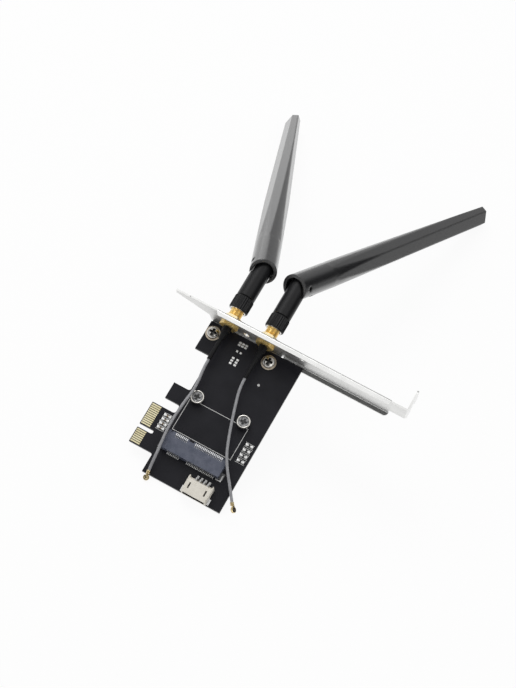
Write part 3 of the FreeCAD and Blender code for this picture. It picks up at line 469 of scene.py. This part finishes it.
def drifting(name, first, second, patch, gloss, relief, grain, **sockets):
    """Finish with a colour that drifts between two tones, uneven gloss and a fine grain.
    Patch and grain are features per metre, and relief is in millimetres."""
    finish = Finish(name, **sockets)
    drift = finish.spread(finish.noise(patch))
    finish.set("Base Color", finish.mix(drift, first, second))
    texture = finish.noise(grain)
    finish.set("Roughness", finish.spread(texture, *gloss))
    finish.bump(texture, relief)
    return finish.material


def board_finish():
    """Satin solder mask on both faces, with the darker laminate showing on the cut edges."""
    finish = Finish("board_mask", Specular_IOR_Level=0.17)
    drift = finish.spread(finish.noise(140))
    mask = finish.mix(drift, tone(28, 28, 33), tone(34, 34, 39))
    layers = finish.spread(finish.noise(2600, stretch=(0.1, 0.1, 1.0)))
    laminate = finish.mix(layers, tone(30, 29, 26), tone(52, 50, 44))
    flat = calculated(finish.tree, "ABSOLUTE", finish.facing((0, 0, 1)))
    side = finish.spread(flat, low=1, high=0, edge=EDGE_FACING)
    finish.set("Base Color", finish.mix(side, mask, laminate))
    texture = finish.noise(5200)
    finish.set("Roughness", finish.spread(texture, low=0.34, high=0.46))
    finish.bump(texture, depth=0.006)
    return finish.material


def steel_finish():
    """Plated sheet steel with fine lengthwise brushing, duller on the face towards the board, and with
    painted shade (a darker base colour) on the upward faces of the fold below the board."""
    finish = Finish("bracket_steel", Metallic=1.0)
    streaks = finish.noise(3800, stretch=(0.03, 1, 1))
    cloud = finish.spread(finish.noise(120))
    plate = finish.mix(cloud, (0.80, 0.80, 0.79, 1), (0.88, 0.88, 0.87, 1))
    up = card_direction((0, 0, 1))
    position = finish.nodes.new("ShaderNodeNewGeometry").outputs["Position"]
    board_level = up.dot(card((0, 0, 0)))
    height = component(finish.tree, position, up)
    below = finish.spread(height, low=1, high=0, edge=(board_level - MM, board_level))
    # Painted shade: upward faces below the board's level get a darker base colour
    upward = finish.spread(finish.facing((0, 0, 1)), edge=FOLD_SHADE_FACING)
    fold = calculated(finish.tree, "MULTIPLY", below, upward)
    finish.set("Base Color", finish.mix(fold, plate, FOLD_PAINTED_SHADE))
    inside = finish.spread(finish.facing((0, -1, 0)), high=WEB_DULL, edge=WEB_FACING)
    gloss = finish.spread(streaks, low=0.2, high=0.27)
    finish.set("Roughness", calculated(finish.tree, "ADD", gloss, inside))
    finish.bump(streaks, depth=0.0012)
    return finish.material


def blade_finish():
    """Satin black plastic with a clear coat, its moulded edges eased."""
    finish = Finish("antenna_plastic", Coat_Weight=1.0, Coat_Roughness=0.18)
    drift = finish.spread(finish.noise(160))
    finish.set("Base Color", finish.mix(drift, tone(27, 27, 29), tone(32, 32, 34)))
    texture = finish.noise(7000)
    finish.set("Roughness", finish.spread(texture, low=0.24, high=0.32))
    bump = finish.bump(texture, depth=0.004)
    edges = finish.nodes.new("ShaderNodeBevel")
    edges.inputs["Radius"].default_value = BLADE_EASE * MM
    finish.links.new(edges.outputs["Normal"], bump.inputs["Normal"])
    finish.links.new(edges.outputs["Normal"], finish.shader.inputs["Coat Normal"])
    return finish.material


def make_materials():
    """Finishes of the record's material slots and of pieces that differ from their slot."""
    return {
        "board": board_finish(),
        "gold": drifting("gold_plate", (0.80, 0.54, 0.20, 1), (0.92, 0.70, 0.34, 1), patch=400,
                         gloss=(0.16, 0.28), relief=0.003, grain=6000, **METAL),
        "pale_gold": drifting("pale_gold", (0.92, 0.78, 0.46, 1), (0.96, 0.85, 0.58, 1), patch=400,
                              gloss=(0.2, 0.32), relief=0.003, grain=6000, **METAL),
        "flange_gold": drifting("flange_gold", (0.95, 0.62, 0.18, 1), (1.0, 0.80, 0.36, 1), patch=400,
                                gloss=(0.22, 0.34), relief=0.003, grain=6000, Metallic=0.7),
        "plug_gold": drifting("plug_gold", (0.62, 0.48, 0.24, 1), (0.86, 0.74, 0.46, 1), patch=900,
                              gloss=(0.16, 0.28), relief=0.003, grain=6000, **METAL),
        "finger_gold": drifting("finger_gold", (0.74, 0.66, 0.40, 1), (0.84, 0.78, 0.54, 1), patch=260,
                                gloss=(0.3, 0.44), relief=0.003, grain=6000, **METAL),
        "bracket_steel": steel_finish(),
        "nickel": drifting("nickel", (0.64, 0.62, 0.58, 1), (0.78, 0.76, 0.72, 1), patch=500,
                           gloss=(0.14, 0.26), relief=0.003, grain=5000, **METAL),
        # Mini card screws' dish: its mottle is stamped texture, its darkness painted shade
        "dish": drifting("dish", (0.06, 0.06, 0.065, 1), (0.46, 0.46, 0.46, 1), patch=900,
                         gloss=(0.3, 0.5), relief=0.02, grain=2400, **METAL),
        # Painted shade for the deep faces of the driver recesses
        "recess": drifting("recess", (0.05, 0.05, 0.05, 1), (0.12, 0.12, 0.12, 1), patch=900,
                           gloss=(0.4, 0.55), relief=0.004, grain=4000, **METAL),
        "washer": drifting("washer", (0.50, 0.43, 0.34, 1), (0.60, 0.53, 0.43, 1), patch=500,
                           gloss=(0.3, 0.42), relief=0.004, grain=5000, **METAL),
        "socket_plastic": drifting("socket_plastic", tone(74, 80, 96), tone(95, 99, 114), patch=330,
                                   gloss=(0.42, 0.6), relief=0.008, grain=4200),
        "tinned": drifting("tinned", (0.80, 0.80, 0.79, 1), (0.90, 0.90, 0.89, 1), patch=700,
                           gloss=(0.28, 0.42), relief=0.004, grain=6000, **METAL),
        "solder": drifting("solder", (0.86, 0.86, 0.85, 1), (0.95, 0.95, 0.94, 1), patch=900,
                           gloss=(0.42, 0.55), relief=0.004, grain=6000, **METAL),
        "dull_tin": drifting("dull_tin", (0.42, 0.42, 0.42, 1), (0.55, 0.55, 0.54, 1), patch=700,
                             gloss=(0.34, 0.46), relief=0.004, grain=6000, **METAL),
        "hold_down": drifting("hold_down", (0.16, 0.16, 0.165, 1), (0.24, 0.24, 0.24, 1), patch=700,
                              gloss=(0.34, 0.46), relief=0.004, grain=6000, **METAL),
        # Painted shade for the dark sheets inside the header's mouth
        "shade": drifting("shade", tone(44, 42, 40), tone(56, 54, 50), patch=500,
                          gloss=(0.6, 0.7), relief=0.004, grain=4000),
        # Insulator in the plugs' mouths, its dark brown partly painted shade
        "plug_insulator_shade": drifting("plug_insulator_shade", tone(38, 30, 20), tone(54, 46, 36), patch=900,
                                gloss=(0.5, 0.6), relief=0.004, grain=4000),
        "header_plastic": drifting("header_plastic", tone(228, 223, 211), tone(238, 233, 222), patch=260,
                                   gloss=(0.4, 0.55), relief=0.006, grain=4000),
        "chip": drifting("chip", tone(34, 34, 36), tone(48, 48, 50), patch=900,
                         gloss=(0.4, 0.6), relief=0.006, grain=5000),
        "capacitor": drifting("capacitor", tone(128, 112, 92), tone(150, 134, 112), patch=900,
                              gloss=(0.4, 0.55), relief=0.006, grain=5000),
        "insulator": drifting("insulator", tone(232, 231, 226), tone(242, 241, 238), patch=500,
                              gloss=(0.35, 0.5), relief=0.004, grain=5000),
        "sleeve": drifting("sleeve", tone(15, 15, 17), tone(21, 21, 23), patch=500,
                           gloss=(0.42, 0.56), relief=0.012, grain=2600, Specular_IOR_Level=0.2),
        "cable": drifting("cable", tone(146, 146, 149), tone(162, 162, 165), patch=600,
                          gloss=(0.38, 0.52), relief=0.008, grain=4000),
        "antenna_plastic": blade_finish(),
        "stem_plastic": drifting("stem_plastic", tone(22, 22, 24), tone(27, 27, 29), patch=160,
                                 gloss=(0.3, 0.38), relief=0.006, grain=7000, Specular_IOR_Level=0.3),
        "radiator": drifting("radiator", (0.72, 0.55, 0.34, 1), (0.80, 0.62, 0.40, 1), patch=500,
                             gloss=(0.3, 0.42), relief=0.004, grain=5000, **METAL),
        "silk": drifting("silk", tone(205, 205, 203), tone(226, 226, 224), patch=1200,
                         gloss=(0.5, 0.65), relief=0.004, grain=6000),
    }


MATERIALS = make_materials()

# Nodes with a finish of their own
NODE_FINISHES = {
    "edge_contacts": "finger_gold",
    "socket_hold_downs": "hold_down",
    "antenna_base_1": "stem_plastic",
    "antenna_base_2": "stem_plastic",
    "coupling_nut_1": "stem_plastic",
    "coupling_nut_2": "stem_plastic",
    "usb_header_pins": "dull_tin",
    "sma_nut_1": "pale_gold",
    "sma_nut_2": "pale_gold",
}


def dress_nodes():
    """Gives every node of the model its own finish, or that of its record slot."""
    for part in frame["record"]["subparts"]:
        finish = NODE_FINISHES.get(part["node"], part["material_slot"])
        for slot in frame["nodes"][part["node"]].material_slots:
            slot.material = MATERIALS[finish]


# Mesh helpers

def piece(name, mesh, slot, body="card", replaces=(), finish=None, second=None, sharp_deg=34):
    """Turns a card-frame mesh into a piece that rides on a body.
    Faces with material index 1 take the second finish."""
    bmesh.ops.recalc_face_normals(mesh, faces=mesh.faces)
    mesh.transform(CARD)
    data = bpy.data.meshes.new(name)
    mesh.to_mesh(data)
    mesh.free()
    data.materials.append(MATERIALS[finish or slot])
    if second:
        data.materials.append(MATERIALS[second])
    data.shade_smooth()
    data.set_sharp_from_angle(angle=math.radians(sharp_deg))
    obj = bpy.data.objects.new(name, data)
    bpy.context.scene.collection.objects.link(obj)
    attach(obj, body)
    if replaces:
        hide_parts(*replaces)
    return obj


def along_x(angle, radius, at):
    """Places turned shapes on the x axis."""
    return (at, radius * math.cos(angle), radius * math.sin(angle))


def along_y(x, z):
    """Places turned shapes on an axis along the card's y."""
    return lambda angle, radius, at: (x + radius * math.cos(angle), at, z + radius * math.sin(angle))


def along_z(x, y):
    """Places turned shapes on an axis along the card's z."""
    return lambda angle, radius, at: (x + radius * math.cos(angle), y + radius * math.sin(angle), at)


def turned(mesh, rows, segments, place, ring=False):
    """Skin through rows of (position, radius), where either may depend on the angle.
    It closes on itself as a ring, or is capped at both ends."""
    rings = []
    for at, radius in rows:
        loop = []
        for i in range(segments):
            angle = TAU * i / segments
            reach = radius(angle) if callable(radius) else radius
            height = at(angle) if callable(at) else at
            loop.append(mesh.verts.new(place(angle, reach, height)))
        rings.append(loop)
    pairs = list(zip(rings, rings[1:]))
    if ring:
        pairs.append((rings[-1], rings[0]))
    for low, high in pairs:
        for i in range(segments):
            j = (i + 1) % segments
            mesh.faces.new((low[i], low[j], high[j], high[i]))
    if not ring:
        mesh.faces.new(rings[0])
        mesh.faces.new(rings[-1])


def brick(mesh, low, high, edge=0.0):
    """Block between two corners with its upper edges eased."""
    (x0, y0, z0), (x1, y1, z1) = low, high
    rows = []
    for z, inset in ((z0, 0), (z1 - edge, 0), (z1, edge)):
        corners = (
            (x0 + inset, y0 + inset, z),
            (x1 - inset, y0 + inset, z),
            (x1 - inset, y1 - inset, z),
            (x0 + inset, y1 - inset, z),
        )
        rows.append([mesh.verts.new(c) for c in corners])
    for lower, upper in zip(rows, rows[1:]):
        for i in range(4):
            j = (i + 1) % 4
            mesh.faces.new((lower[i], lower[j], upper[j], upper[i]))
    mesh.faces.new(rows[0])
    mesh.faces.new(rows[-1])


def pillow(mesh, x, y, half_x, half_y, height, base=0.0):
    """Low dome of solder over a rectangular pad."""
    grid = []
    for i in range(PAD_CELLS + 1):
        u = 2 * i / PAD_CELLS - 1
        line = []
        for j in range(PAD_CELLS + 1):
            v = 2 * j / PAD_CELLS - 1
            rise = math.sqrt(max(0.0, (1 - u ** PAD_SQUARE) * (1 - v ** PAD_SQUARE)))
            line.append(mesh.verts.new((x + u * half_x, y + v * half_y, base + height * rise)))
        grid.append(line)
    for i in range(PAD_CELLS):
        for j in range(PAD_CELLS):
            mesh.faces.new((grid[i][j], grid[i + 1][j], grid[i + 1][j + 1], grid[i][j + 1]))
    rim = [grid[i][0] for i in range(PAD_CELLS)]
    rim += [grid[PAD_CELLS][j] for j in range(PAD_CELLS)]
    rim += [grid[i][PAD_CELLS] for i in range(PAD_CELLS, 0, -1)]
    rim += [grid[0][j] for j in range(PAD_CELLS, 0, -1)]
    mesh.faces.new(rim)


# Pieces on the board

def silk_outline():
    """White print: the mini card's outline, a round mark and lines beside the chip parts."""
    mesh = bmesh.new()
    half = SILK_WIDTH / 2
    strips = (
        (SILK_LEFT, SILK_FRONT, SILK_RIGHT, SILK_FRONT),
        (SILK_LEFT, SILK_BACK, SILK_RIGHT, SILK_BACK),
        (SILK_LEFT, SILK_FRONT + SILK_WIDTH, SILK_LEFT, SILK_BACK - SILK_WIDTH),
        (SILK_RIGHT, SILK_FRONT + SILK_WIDTH, SILK_RIGHT, SILK_BACK - SILK_WIDTH),
    )
    for x0, y0, x1, y1 in strips:
        brick(mesh, (x0 - half, y0 - half, 0), (x1 + half, y1 + half, FILM), FILM_EDGE)
    turned(mesh, ((0, FIDUCIAL_R), (FILM, FIDUCIAL_R)), FIDUCIAL_SEGMENTS, along_z(*FIDUCIAL))
    places = [(RESISTOR_X, y) for y in RESISTOR_YS] + [(CAPACITOR_X, y) for y in CAPACITOR_YS]
    half_x, half_y = CHIP_SILK_HALF
    for x, y in places:
        for side in (-1, 1):
            low = y + side * half_y - CHIP_SILK_WIDTH / 2
            high = low + CHIP_SILK_WIDTH
            brick(mesh, (x - half_x, low, 0), (x + half_x, high, FILM), FILM_EDGE)
    piece("silk_outline", mesh, "board", finish="silk")


def bare_pads():
    """Tinned pads with no part on them."""
    mesh = bmesh.new()
    for columns, rows, half in BARE_PADS:
        for x in columns:
            for y in rows:
                pillow(mesh, x, y, *half, PAD_HEIGHT)
    piece("bare_pads", mesh, "tinned", finish="solder")


def chip_ends(name, x, ys):
    """Plated end caps and solder fillets of a column of chip parts."""
    mesh = bmesh.new()
    top = CHIP_HEIGHT + CHIP_CAP_PROUD
    half = CHIP_WIDTH / 2 + CHIP_CAP_PROUD
    outer = CHIP_LENGTH / 2 + CHIP_CAP_PROUD
    for y in ys:
        for side in (-1, 1):
            ends = sorted((x + side * outer, x + side * (CHIP_LENGTH / 2 - CHIP_CAP)))
            brick(mesh, (ends[0], y - half, 0), (ends[1], y + half, top), CHIP_CAP_EDGE)
            pillow(mesh, x + side * CHIP_PAD_REACH, y, *CHIP_PAD_HALF, CHIP_SOLDER_HEIGHT)
    piece(name, mesh, "tinned")


def socket_details():
    """Contact tops in the comb, solder on the rear tails and the tabs at the corners."""
    mesh = bmesh.new()
    for first, count in SOCKET_GROUPS:
        for i in range(count):
            x = first + i * SOCKET_PITCH
            low = (x - COMB_HALF, COMB_Y[0], COMB_Z[0])
            high = (x + COMB_HALF, COMB_Y[1], COMB_Z[1])
            brick(mesh, low, high, COMB_EDGE)
            pillow(mesh, x, TAIL_PAD_Y, *TAIL_PAD_HALF, TAIL_PAD_HEIGHT)
    for low, high in CORNER_TABS:
        brick(mesh, (*low, 0), (*high, CORNER_TAB_HEIGHT), CORNER_TAB_EDGE)
    piece("socket_details", mesh, "tinned", finish="solder")


def header_solder():
    """Solder over the feet of the header's pins."""
    mesh = bmesh.new()
    for x in HEADER_PIN_XS:
        pillow(mesh, x, HEADER_FOOT_Y, *HEADER_FOOT_HALF, HEADER_FOOT_HEIGHT)
    piece("header_solder", mesh, "tinned", finish="dull_tin")


def header_mouth_shade():
    """Painted shade: thin dark sheets put inside the deep mouth of the header, where there is only shade."""
    (x0, y0, z0), (x1, y1, z1) = HEADER_MOUTH
    t = HEADER_MOUTH_SHADE_THICK
    mesh = bmesh.new()
    brick(mesh, (x0, y0, z0), (x1, y1, z0 + t))
    brick(mesh, (x0, y0, z1 - t), (x1, y1, z1))
    brick(mesh, (x0, y0, z0 + t), (x0 + t, y1, z1 - t))
    brick(mesh, (x1 - t, y0, z0 + t), (x1, y1, z1 - t))
    piece("header_mouth_shade", mesh, "header_plastic", finish="shade")


def recess_depth(dx, dy, reach, width, depth):
    """Depth of a cross recess with sloping walls at a point of the head."""
    across = min(abs(dx), abs(dy))
    along = max(abs(dx), abs(dy))
    wall = width * RECESS_WALL
    side = (width / 2 - across) / wall + 0.5
    end = (reach - along) / wall + 0.5
    return depth * max(0.0, min(1.0, side, end))


def shade_recess(mesh, xs, y, above, recess):
    """Gives the second finish, a dark painted shade, to the faces deep in the driver recesses."""
    reach, width, depth = recess
    for face in mesh.faces:
        middle = face.calc_center_median()
        for x in xs:
            sunk = recess_depth(middle.x - x, middle.y - y, reach, width, depth)
            if middle.z > above and sunk > depth * RECESS_SHADE_FROM:
                face.material_index = 1


def thread(at, radius, pitch, depth):
    """Radius of a screw thread by angle, at one place along its axis."""
    return lambda angle: radius - depth * abs(2 * ((at / pitch - angle / TAU) % 1) - 1)


def thread_rows(start, end, radius, pitch, depth):
    """Rows of a turned shape along a screw thread."""
    count = math.ceil((end - start) / pitch * THREAD_STEPS)
    places = [start + (end - start) * i / count for i in range(count + 1)]
    return [(at, thread(at, radius, pitch, depth)) for at in places]


def sunk_height(radius, height, recess):
    """Height of a head's top by angle at one radius, less the driver recess."""
    def at(angle):
        return height - recess_depth(radius * math.cos(angle), radius * math.sin(angle), *recess)
    return at


def screw_top(profile, recess):
    """Rows of a head's top from its (radius, height) profile."""
    return [(sunk_height(radius, height, recess), radius) for radius, height in profile]


def bracket_screws():
    """Domed heads with a cross recess, and their threaded shanks."""
    seat = WASHER_THICK
    rim = seat + SCREW_RIM
    dome = []
    for i in range(HEAD_ROWS + 1):
        radius = max(HEAD_CENTRE_R, SCREW_HEAD_R * (1 - i / HEAD_ROWS))
        lift = math.sqrt(1 - (radius / SCREW_HEAD_R) ** SCREW_DOME_POWER)
        dome.append((radius, rim + (SCREW_HEAD_HEIGHT - SCREW_RIM) * lift))
    end = seat - SCREW_LENGTH
    thread_from = end + SCREW_TIP_LENGTH
    thread_to = seat - SCREW_NECK_LENGTH
    rows = [(end, SCREW_R - SCREW_TIP_STEP)]
    rows += thread_rows(thread_from, thread_to, SCREW_R, SCREW_PITCH, SCREW_THREAD_DEPTH)
    rows += [(seat - SCREW_NECK_EDGE, SCREW_R - SCREW_NECK_STEP), (seat, SCREW_R)]
    rows += [(seat, SCREW_HEAD_R - SCREW_HEAD_EDGE), (seat + SCREW_HEAD_EDGE, SCREW_HEAD_R)]
    rows += screw_top(dome, SCREW_RECESS)
    mesh = bmesh.new()
    for x in SCREW_XS:
        turned(mesh, rows, HEAD_SEGMENTS, along_z(x, SCREW_Y))
    shade_recess(mesh, SCREW_XS, SCREW_Y, seat, SCREW_RECESS)
    piece("bracket_screw_heads", mesh, "nickel", replaces=("bracket_screws",), second="recess")


def bracket_washers():
    """Flat washers with eased rims."""
    mesh = bmesh.new()
    e = WASHER_EDGE
    rows = (
        (0, WASHER_BORE),
        (0, WASHER_R - e),
        (e, WASHER_R),
        (WASHER_THICK - e, WASHER_R),
        (WASHER_THICK, WASHER_R - e),
        (WASHER_THICK, WASHER_BORE),
    )
    for x in SCREW_XS:
        turned(mesh, rows, HEAD_SEGMENTS, along_z(x, SCREW_Y), ring=True)
    piece("bracket_washer_rings", mesh, "washer", replaces=("bracket_washers",))


def mini_card_screws():
    """Flat heads with a bright rim round a dish with a shallow cross recess; the dish's darker mottled
    finish is partly stamped texture and partly painted shade.
    """
    seat = STANDOFF_HEIGHT
    top = seat + CARD_SCREW_HEAD_HEIGHT
    dish_top = top - CARD_SCREW_DISH
    bed = dish_top - CARD_SCREW_DISH_THICK
    inner = CARD_SCREW_DISH_R - CARD_SCREW_DISH_GAP
    rim = [(seat - CARD_SCREW_DEPTH, CARD_SCREW_R), (seat, CARD_SCREW_R)]
    rim += [(seat, CARD_SCREW_HEAD_R - CARD_SCREW_EDGE), (seat + CARD_SCREW_EDGE, CARD_SCREW_HEAD_R)]
    rim += [(top - drop, CARD_SCREW_HEAD_R - inset) for drop, inset in CARD_SCREW_RIM]
    rim += [(top - drop, CARD_SCREW_DISH_R + spread) for drop, spread in CARD_SCREW_LIP]
    rim += [(bed, inner)]
    edge_in, edge_down = CARD_SCREW_DISH_EDGE
    flat = inner - edge_in
    dish = [(inner, dish_top - edge_down), (flat, dish_top)]
    dish += [(max(HEAD_CENTRE_R, flat * (1 - i / HEAD_ROWS)), dish_top) for i in range(1, HEAD_ROWS + 1)]
    dish_rows = [(bed, inner)] + screw_top(dish, CARD_SCREW_RECESS)
    mesh = bmesh.new()
    dishes = bmesh.new()
    for x in CARD_SCREW_XS:
        turned(mesh, rim, HEAD_SEGMENTS, along_z(x, CARD_SCREW_Y))
        turned(dishes, dish_rows, HEAD_SEGMENTS, along_z(x, CARD_SCREW_Y))
    piece("mini_card_screw_heads", mesh, "nickel", replaces=("mini_card_screws",))
    shade_recess(dishes, CARD_SCREW_XS, CARD_SCREW_Y, bed, CARD_SCREW_RECESS)
    piece("mini_card_screw_dishes", dishes, "nickel", finish="dish", second="recess")


# Jacks, couplings and leads

def hexagon(limit):
    """Radius of a hexagon with a flat towards the board, its corners turned down to the limit."""
    def radius(angle):
        turn = (angle % (TAU / 6)) - TAU / 12
        return min(limit, HEX_FLATS / 2 / math.cos(turn))
    return radius


def jacks():
    """Bulkhead jacks: crimp, rear barrel, hexagonal flange and threaded nose with its bore."""
    corner = HEX_FLATS / math.sqrt(3)
    eased = corner - HEX_EASE
    rows = [(CRIMP_Y, CRIMP_R), (REAR_Y, CRIMP_R), (REAR_Y, REAR_R - REAR_EDGE)]
    rows += [(REAR_Y + REAR_EDGE, REAR_R), (FLANGE_Y, REAR_R)]
    rows += [(FLANGE_Y, hexagon(eased)), (FLANGE_Y + HEX_EASE, hexagon(corner))]
    rows += [(BRACKET_Y - HEX_EASE, hexagon(corner)), (BRACKET_Y, hexagon(eased)), (BRACKET_Y, THREAD_R)]
    rows += [(BRACKET_OUT, THREAD_R)]
    thread_from = BRACKET_OUT + THREAD_GAP
    rows += thread_rows(thread_from, JACK_END - JACK_EDGE, THREAD_R, THREAD_PITCH, THREAD_DEPTH)
    rows += [(JACK_END, THREAD_R - THREAD_DEPTH), (JACK_END, BORE_R), (BORE_FLOOR, BORE_R)]
    for number, x in enumerate(JACK_XS, 1):
        mesh = bmesh.new()
        turned(mesh, rows, JACK_SEGMENTS, along_y(x, JACK_Z))
        piece(f"jack_{number}", mesh, "gold", finish="flange_gold", replaces=(f"sma_jack_{number}",))


def coupling_rings():
    """Bright rings in the mouths of the coupling nuts."""
    e = MOUTH_RING_EDGE
    y0 = COUPLING_Y0 - MOUTH_RING_PROUD
    y1 = COUPLING_Y0 + MOUTH_RING_PROUD
    rows = (
        (y0, MOUTH_RING_IN + e),
        (y0, MOUTH_RING_OUT - e),
        (y0 + e, MOUTH_RING_OUT),
        (y1, MOUTH_RING_OUT),
        (y1, MOUTH_RING_IN),
        (y0 + e, MOUTH_RING_IN),
    )
    for number, x in enumerate(JACK_XS, 1):
        mesh = bmesh.new()
        turned(mesh, rows, JACK_SEGMENTS, along_y(x, JACK_Z), ring=True)
        piece(f"coupling_ring_{number}", mesh, "nickel", body=f"coupling_nut_{number}")


def plug_frame(route, roll_deg):
    """Frame at the end of a lead, with x along it and z upwards before the roll."""
    end = Vector(route[-1])
    along = (end - Vector(route[-2])).normalized()
    side = Vector((0, 0, 1)).cross(along).normalized()
    turn = Matrix((along, side, along.cross(side))).transposed()
    return Matrix.Translation(end) @ turn.to_4x4() @ Matrix.Rotation(math.radians(roll_deg), 4, "X")


def coax_plug(number, route):
    """Crimp, neck and cap of a push-on plug, and the dark insulator in the cap's mouth, whose darkness is
    partly the insulator's own and partly painted shade.
    """
    mesh = bmesh.new()
    turned(mesh, PLUG_CRIMP_ROWS, PLUG_CRIMP_SEGMENTS, along_x)
    brick(mesh, *PLUG_NECK, PLUG_NECK_EDGE)
    turned(mesh, PLUG_CAP_ROWS, PLUG_CAP_SEGMENTS, along_z(PLUG_CAP_X, 0))
    insulator_shade = bmesh.new()
    turned(insulator_shade, PLUG_INSULATOR_SHADE_ROWS, PLUG_CAP_SEGMENTS, along_z(PLUG_CAP_X, 0), ring=True)
    turn = plug_frame(route, PLUG_ROLLS_DEG[number - 1])
    mesh.transform(turn)
    insulator_shade.transform(turn)
    return (
        piece(f"lead_plug_{number}", mesh, "gold", finish="plug_gold", replaces=(f"coax_plug_{number}",)),
        piece(f"lead_plug_insulator_shade_{number}", insulator_shade, "gold", finish="plug_insulator_shade"),
    )


def coax_leads():
    """Leads on smooth curves through their routes, each with its plug."""
    for number, (route, length) in enumerate(zip(COAX_ROUTES, COAX_LENGTHS_M), 1):
        plug_pieces = coax_plug(number, route)
        curve = bpy.data.curves.new(f"coax_lead_{number}", "CURVE")
        curve.dimensions = "3D"
        curve.bevel_depth = CABLE_R * MM
        curve.bevel_resolution = CABLE_ROUNDING
        curve.use_fill_caps = True
        spline = curve.splines.new("NURBS")
        spline.points.add(len(route) - 1)
        for point, place in zip(spline.points, route):
            point.co = (*card(place), 1.0)
        spline.order_u = CABLE_ORDER
        spline.use_endpoint_u = True
        spline.resolution_u = CABLE_STEPS
        curve.materials.append(MATERIALS["cable"])
        lead = bpy.data.objects.new(f"coax_lead_{number}", curve)
        bpy.context.scene.collection.objects.link(lead)
        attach(lead, "card")
        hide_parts(f"coax_cable_{number}")


# Stage, light and camera

def floor():
    """Pale floor that keeps the part's shadow."""
    data = bpy.data.meshes.new("floor")
    h = FLOOR_HALF
    data.from_pydata([(-h, -h, 0), (h, -h, 0), (h, h, 0), (-h, h, 0)], [], [(0, 1, 2, 3)])
    obj = bpy.data.objects.new("floor", data)
    bpy.context.scene.collection.objects.link(obj)
    material = bpy.data.materials.new("floor")
    material.use_nodes = True
    tree = material.node_tree
    nodes = tree.nodes
    links = tree.links
    shader = nodes["Principled BSDF"]
    shader.inputs["Base Color"].default_value = FLOOR_COLOUR
    shader.inputs["Roughness"].default_value = 1.0
    shader.inputs["Specular IOR Level"].default_value = 0.0
    glow = nodes.new("ShaderNodeEmission")
    path = nodes.new("ShaderNodeLightPath")
    place = nodes.new("ShaderNodeTexCoord").outputs["Object"]
    level = ramp(tree, component(tree, place, SHADE_TOWARD), FLOOR_SHADE_EDGE, *FLOOR_GLOSS)
    strength = nodes.new("ShaderNodeMix")
    strength.inputs["A"].default_value = 1.0
    links.new(path.outputs["Is Glossy Ray"], strength.inputs["Factor"])
    links.new(level, strength.inputs["B"])
    links.new(strength.outputs["Result"], glow.inputs["Strength"])
    share = nodes.new("ShaderNodeMath")
    share.operation = "MULTIPLY_ADD"
    share.inputs[1].default_value = FLOOR_GLOW
    links.new(path.outputs["Is Camera Ray"], share.inputs[0])
    links.new(path.outputs["Is Glossy Ray"], share.inputs[2])
    mix = nodes.new("ShaderNodeMixShader")
    links.new(share.outputs["Value"], mix.inputs["Fac"])
    links.new(shader.outputs["BSDF"], mix.inputs[1])
    links.new(glow.outputs["Emission"], mix.inputs[2])
    links.new(mix.outputs["Shader"], nodes["Material Output"].inputs["Surface"])
    data.materials.append(material)


def world():
    """Studio that is white to the camera and bright overhead, with a dark card on the shaded side and a dim
    gap on the camera's side."""
    made = bpy.data.worlds.new("studio")
    made.use_nodes = True
    bpy.context.scene.world = made
    tree = made.node_tree
    direction = tree.nodes.new("ShaderNodeTexCoord").outputs["Generated"]
    level = WORLD_SIDE
    for axis, edge, value in (
        ((0, 0, 1), WORLD_TOP_EDGE, WORLD_TOP),
        (SHADE_TOWARD, WORLD_SHADE_EDGE, WORLD_SHADE),
        (WORLD_GAP_TOWARD, WORLD_GAP_EDGE, WORLD_GAP),
    ):
        towards = component(tree, direction, Vector(axis).normalized())
        level = ramp(tree, towards, edge, level, value)
    seen = tree.nodes.new("ShaderNodeLightPath").outputs["Is Camera Ray"]
    background = tree.nodes["Background"]
    background.inputs["Color"].default_value = (1, 1, 1, 1)
    tree.links.new(ramp(tree, seen, (0.0, 1.0), level, 1.0), background.inputs["Strength"])


def softbox(name, place, width, height, watts):
    """Rectangular lamp that faces the place where all lights aim."""
    lamp = bpy.data.lights.new(name, "AREA")
    lamp.shape = "RECTANGLE"
    lamp.size = width
    lamp.size_y = height
    lamp.energy = watts
    obj = bpy.data.objects.new(name, lamp)
    bpy.context.scene.collection.objects.link(obj)
    obj.location = place
    aim = Vector(LIGHTS_AIM) - Vector(place)
    obj.rotation_euler = aim.to_track_quat("-Z", "Y").to_euler()


def lights():
    for box in SOFTBOXES:
        softbox(*box)


def camera():
    """Camera at the photograph's place and angle."""
    data = bpy.data.cameras.new("camera")
    data.sensor_width = SENSOR_WIDTH
    data.lens = FOCAL_PIXELS * SENSOR_WIDTH / PHOTO_HEIGHT
    obj = bpy.data.objects.new("camera", data)
    bpy.context.scene.collection.objects.link(obj)
    eye = card(CAMERA_FROM)
    forward = (card(CAMERA_AT) - eye).normalized()
    board_up = card_direction((0, 1, 0))
    side = forward.cross(board_up).normalized()
    up = side.cross(forward)
    roll = math.radians(CAMERA_ROLL_DEG)
    right = side * math.cos(roll) + up * math.sin(roll)
    top = up * math.cos(roll) - side * math.sin(roll)
    turn = Matrix((right, top, -forward)).transposed()
    obj.matrix_world = Matrix.Translation(eye) @ turn.to_4x4()
    bpy.context.scene.camera = obj


bpy.context.scene.view_settings.view_transform = "Standard"
camera()
coax_leads()
dress_nodes()
silk_outline()
bare_pads()
socket_details()
header_solder()
header_mouth_shade()
chip_ends("resistor_ends", RESISTOR_X, RESISTOR_YS)
chip_ends("capacitor_ends", CAPACITOR_X, CAPACITOR_YS)
bracket_screws()
bracket_washers()
mini_card_screws()
jacks()
coupling_rings()
floor()
world()
lights()
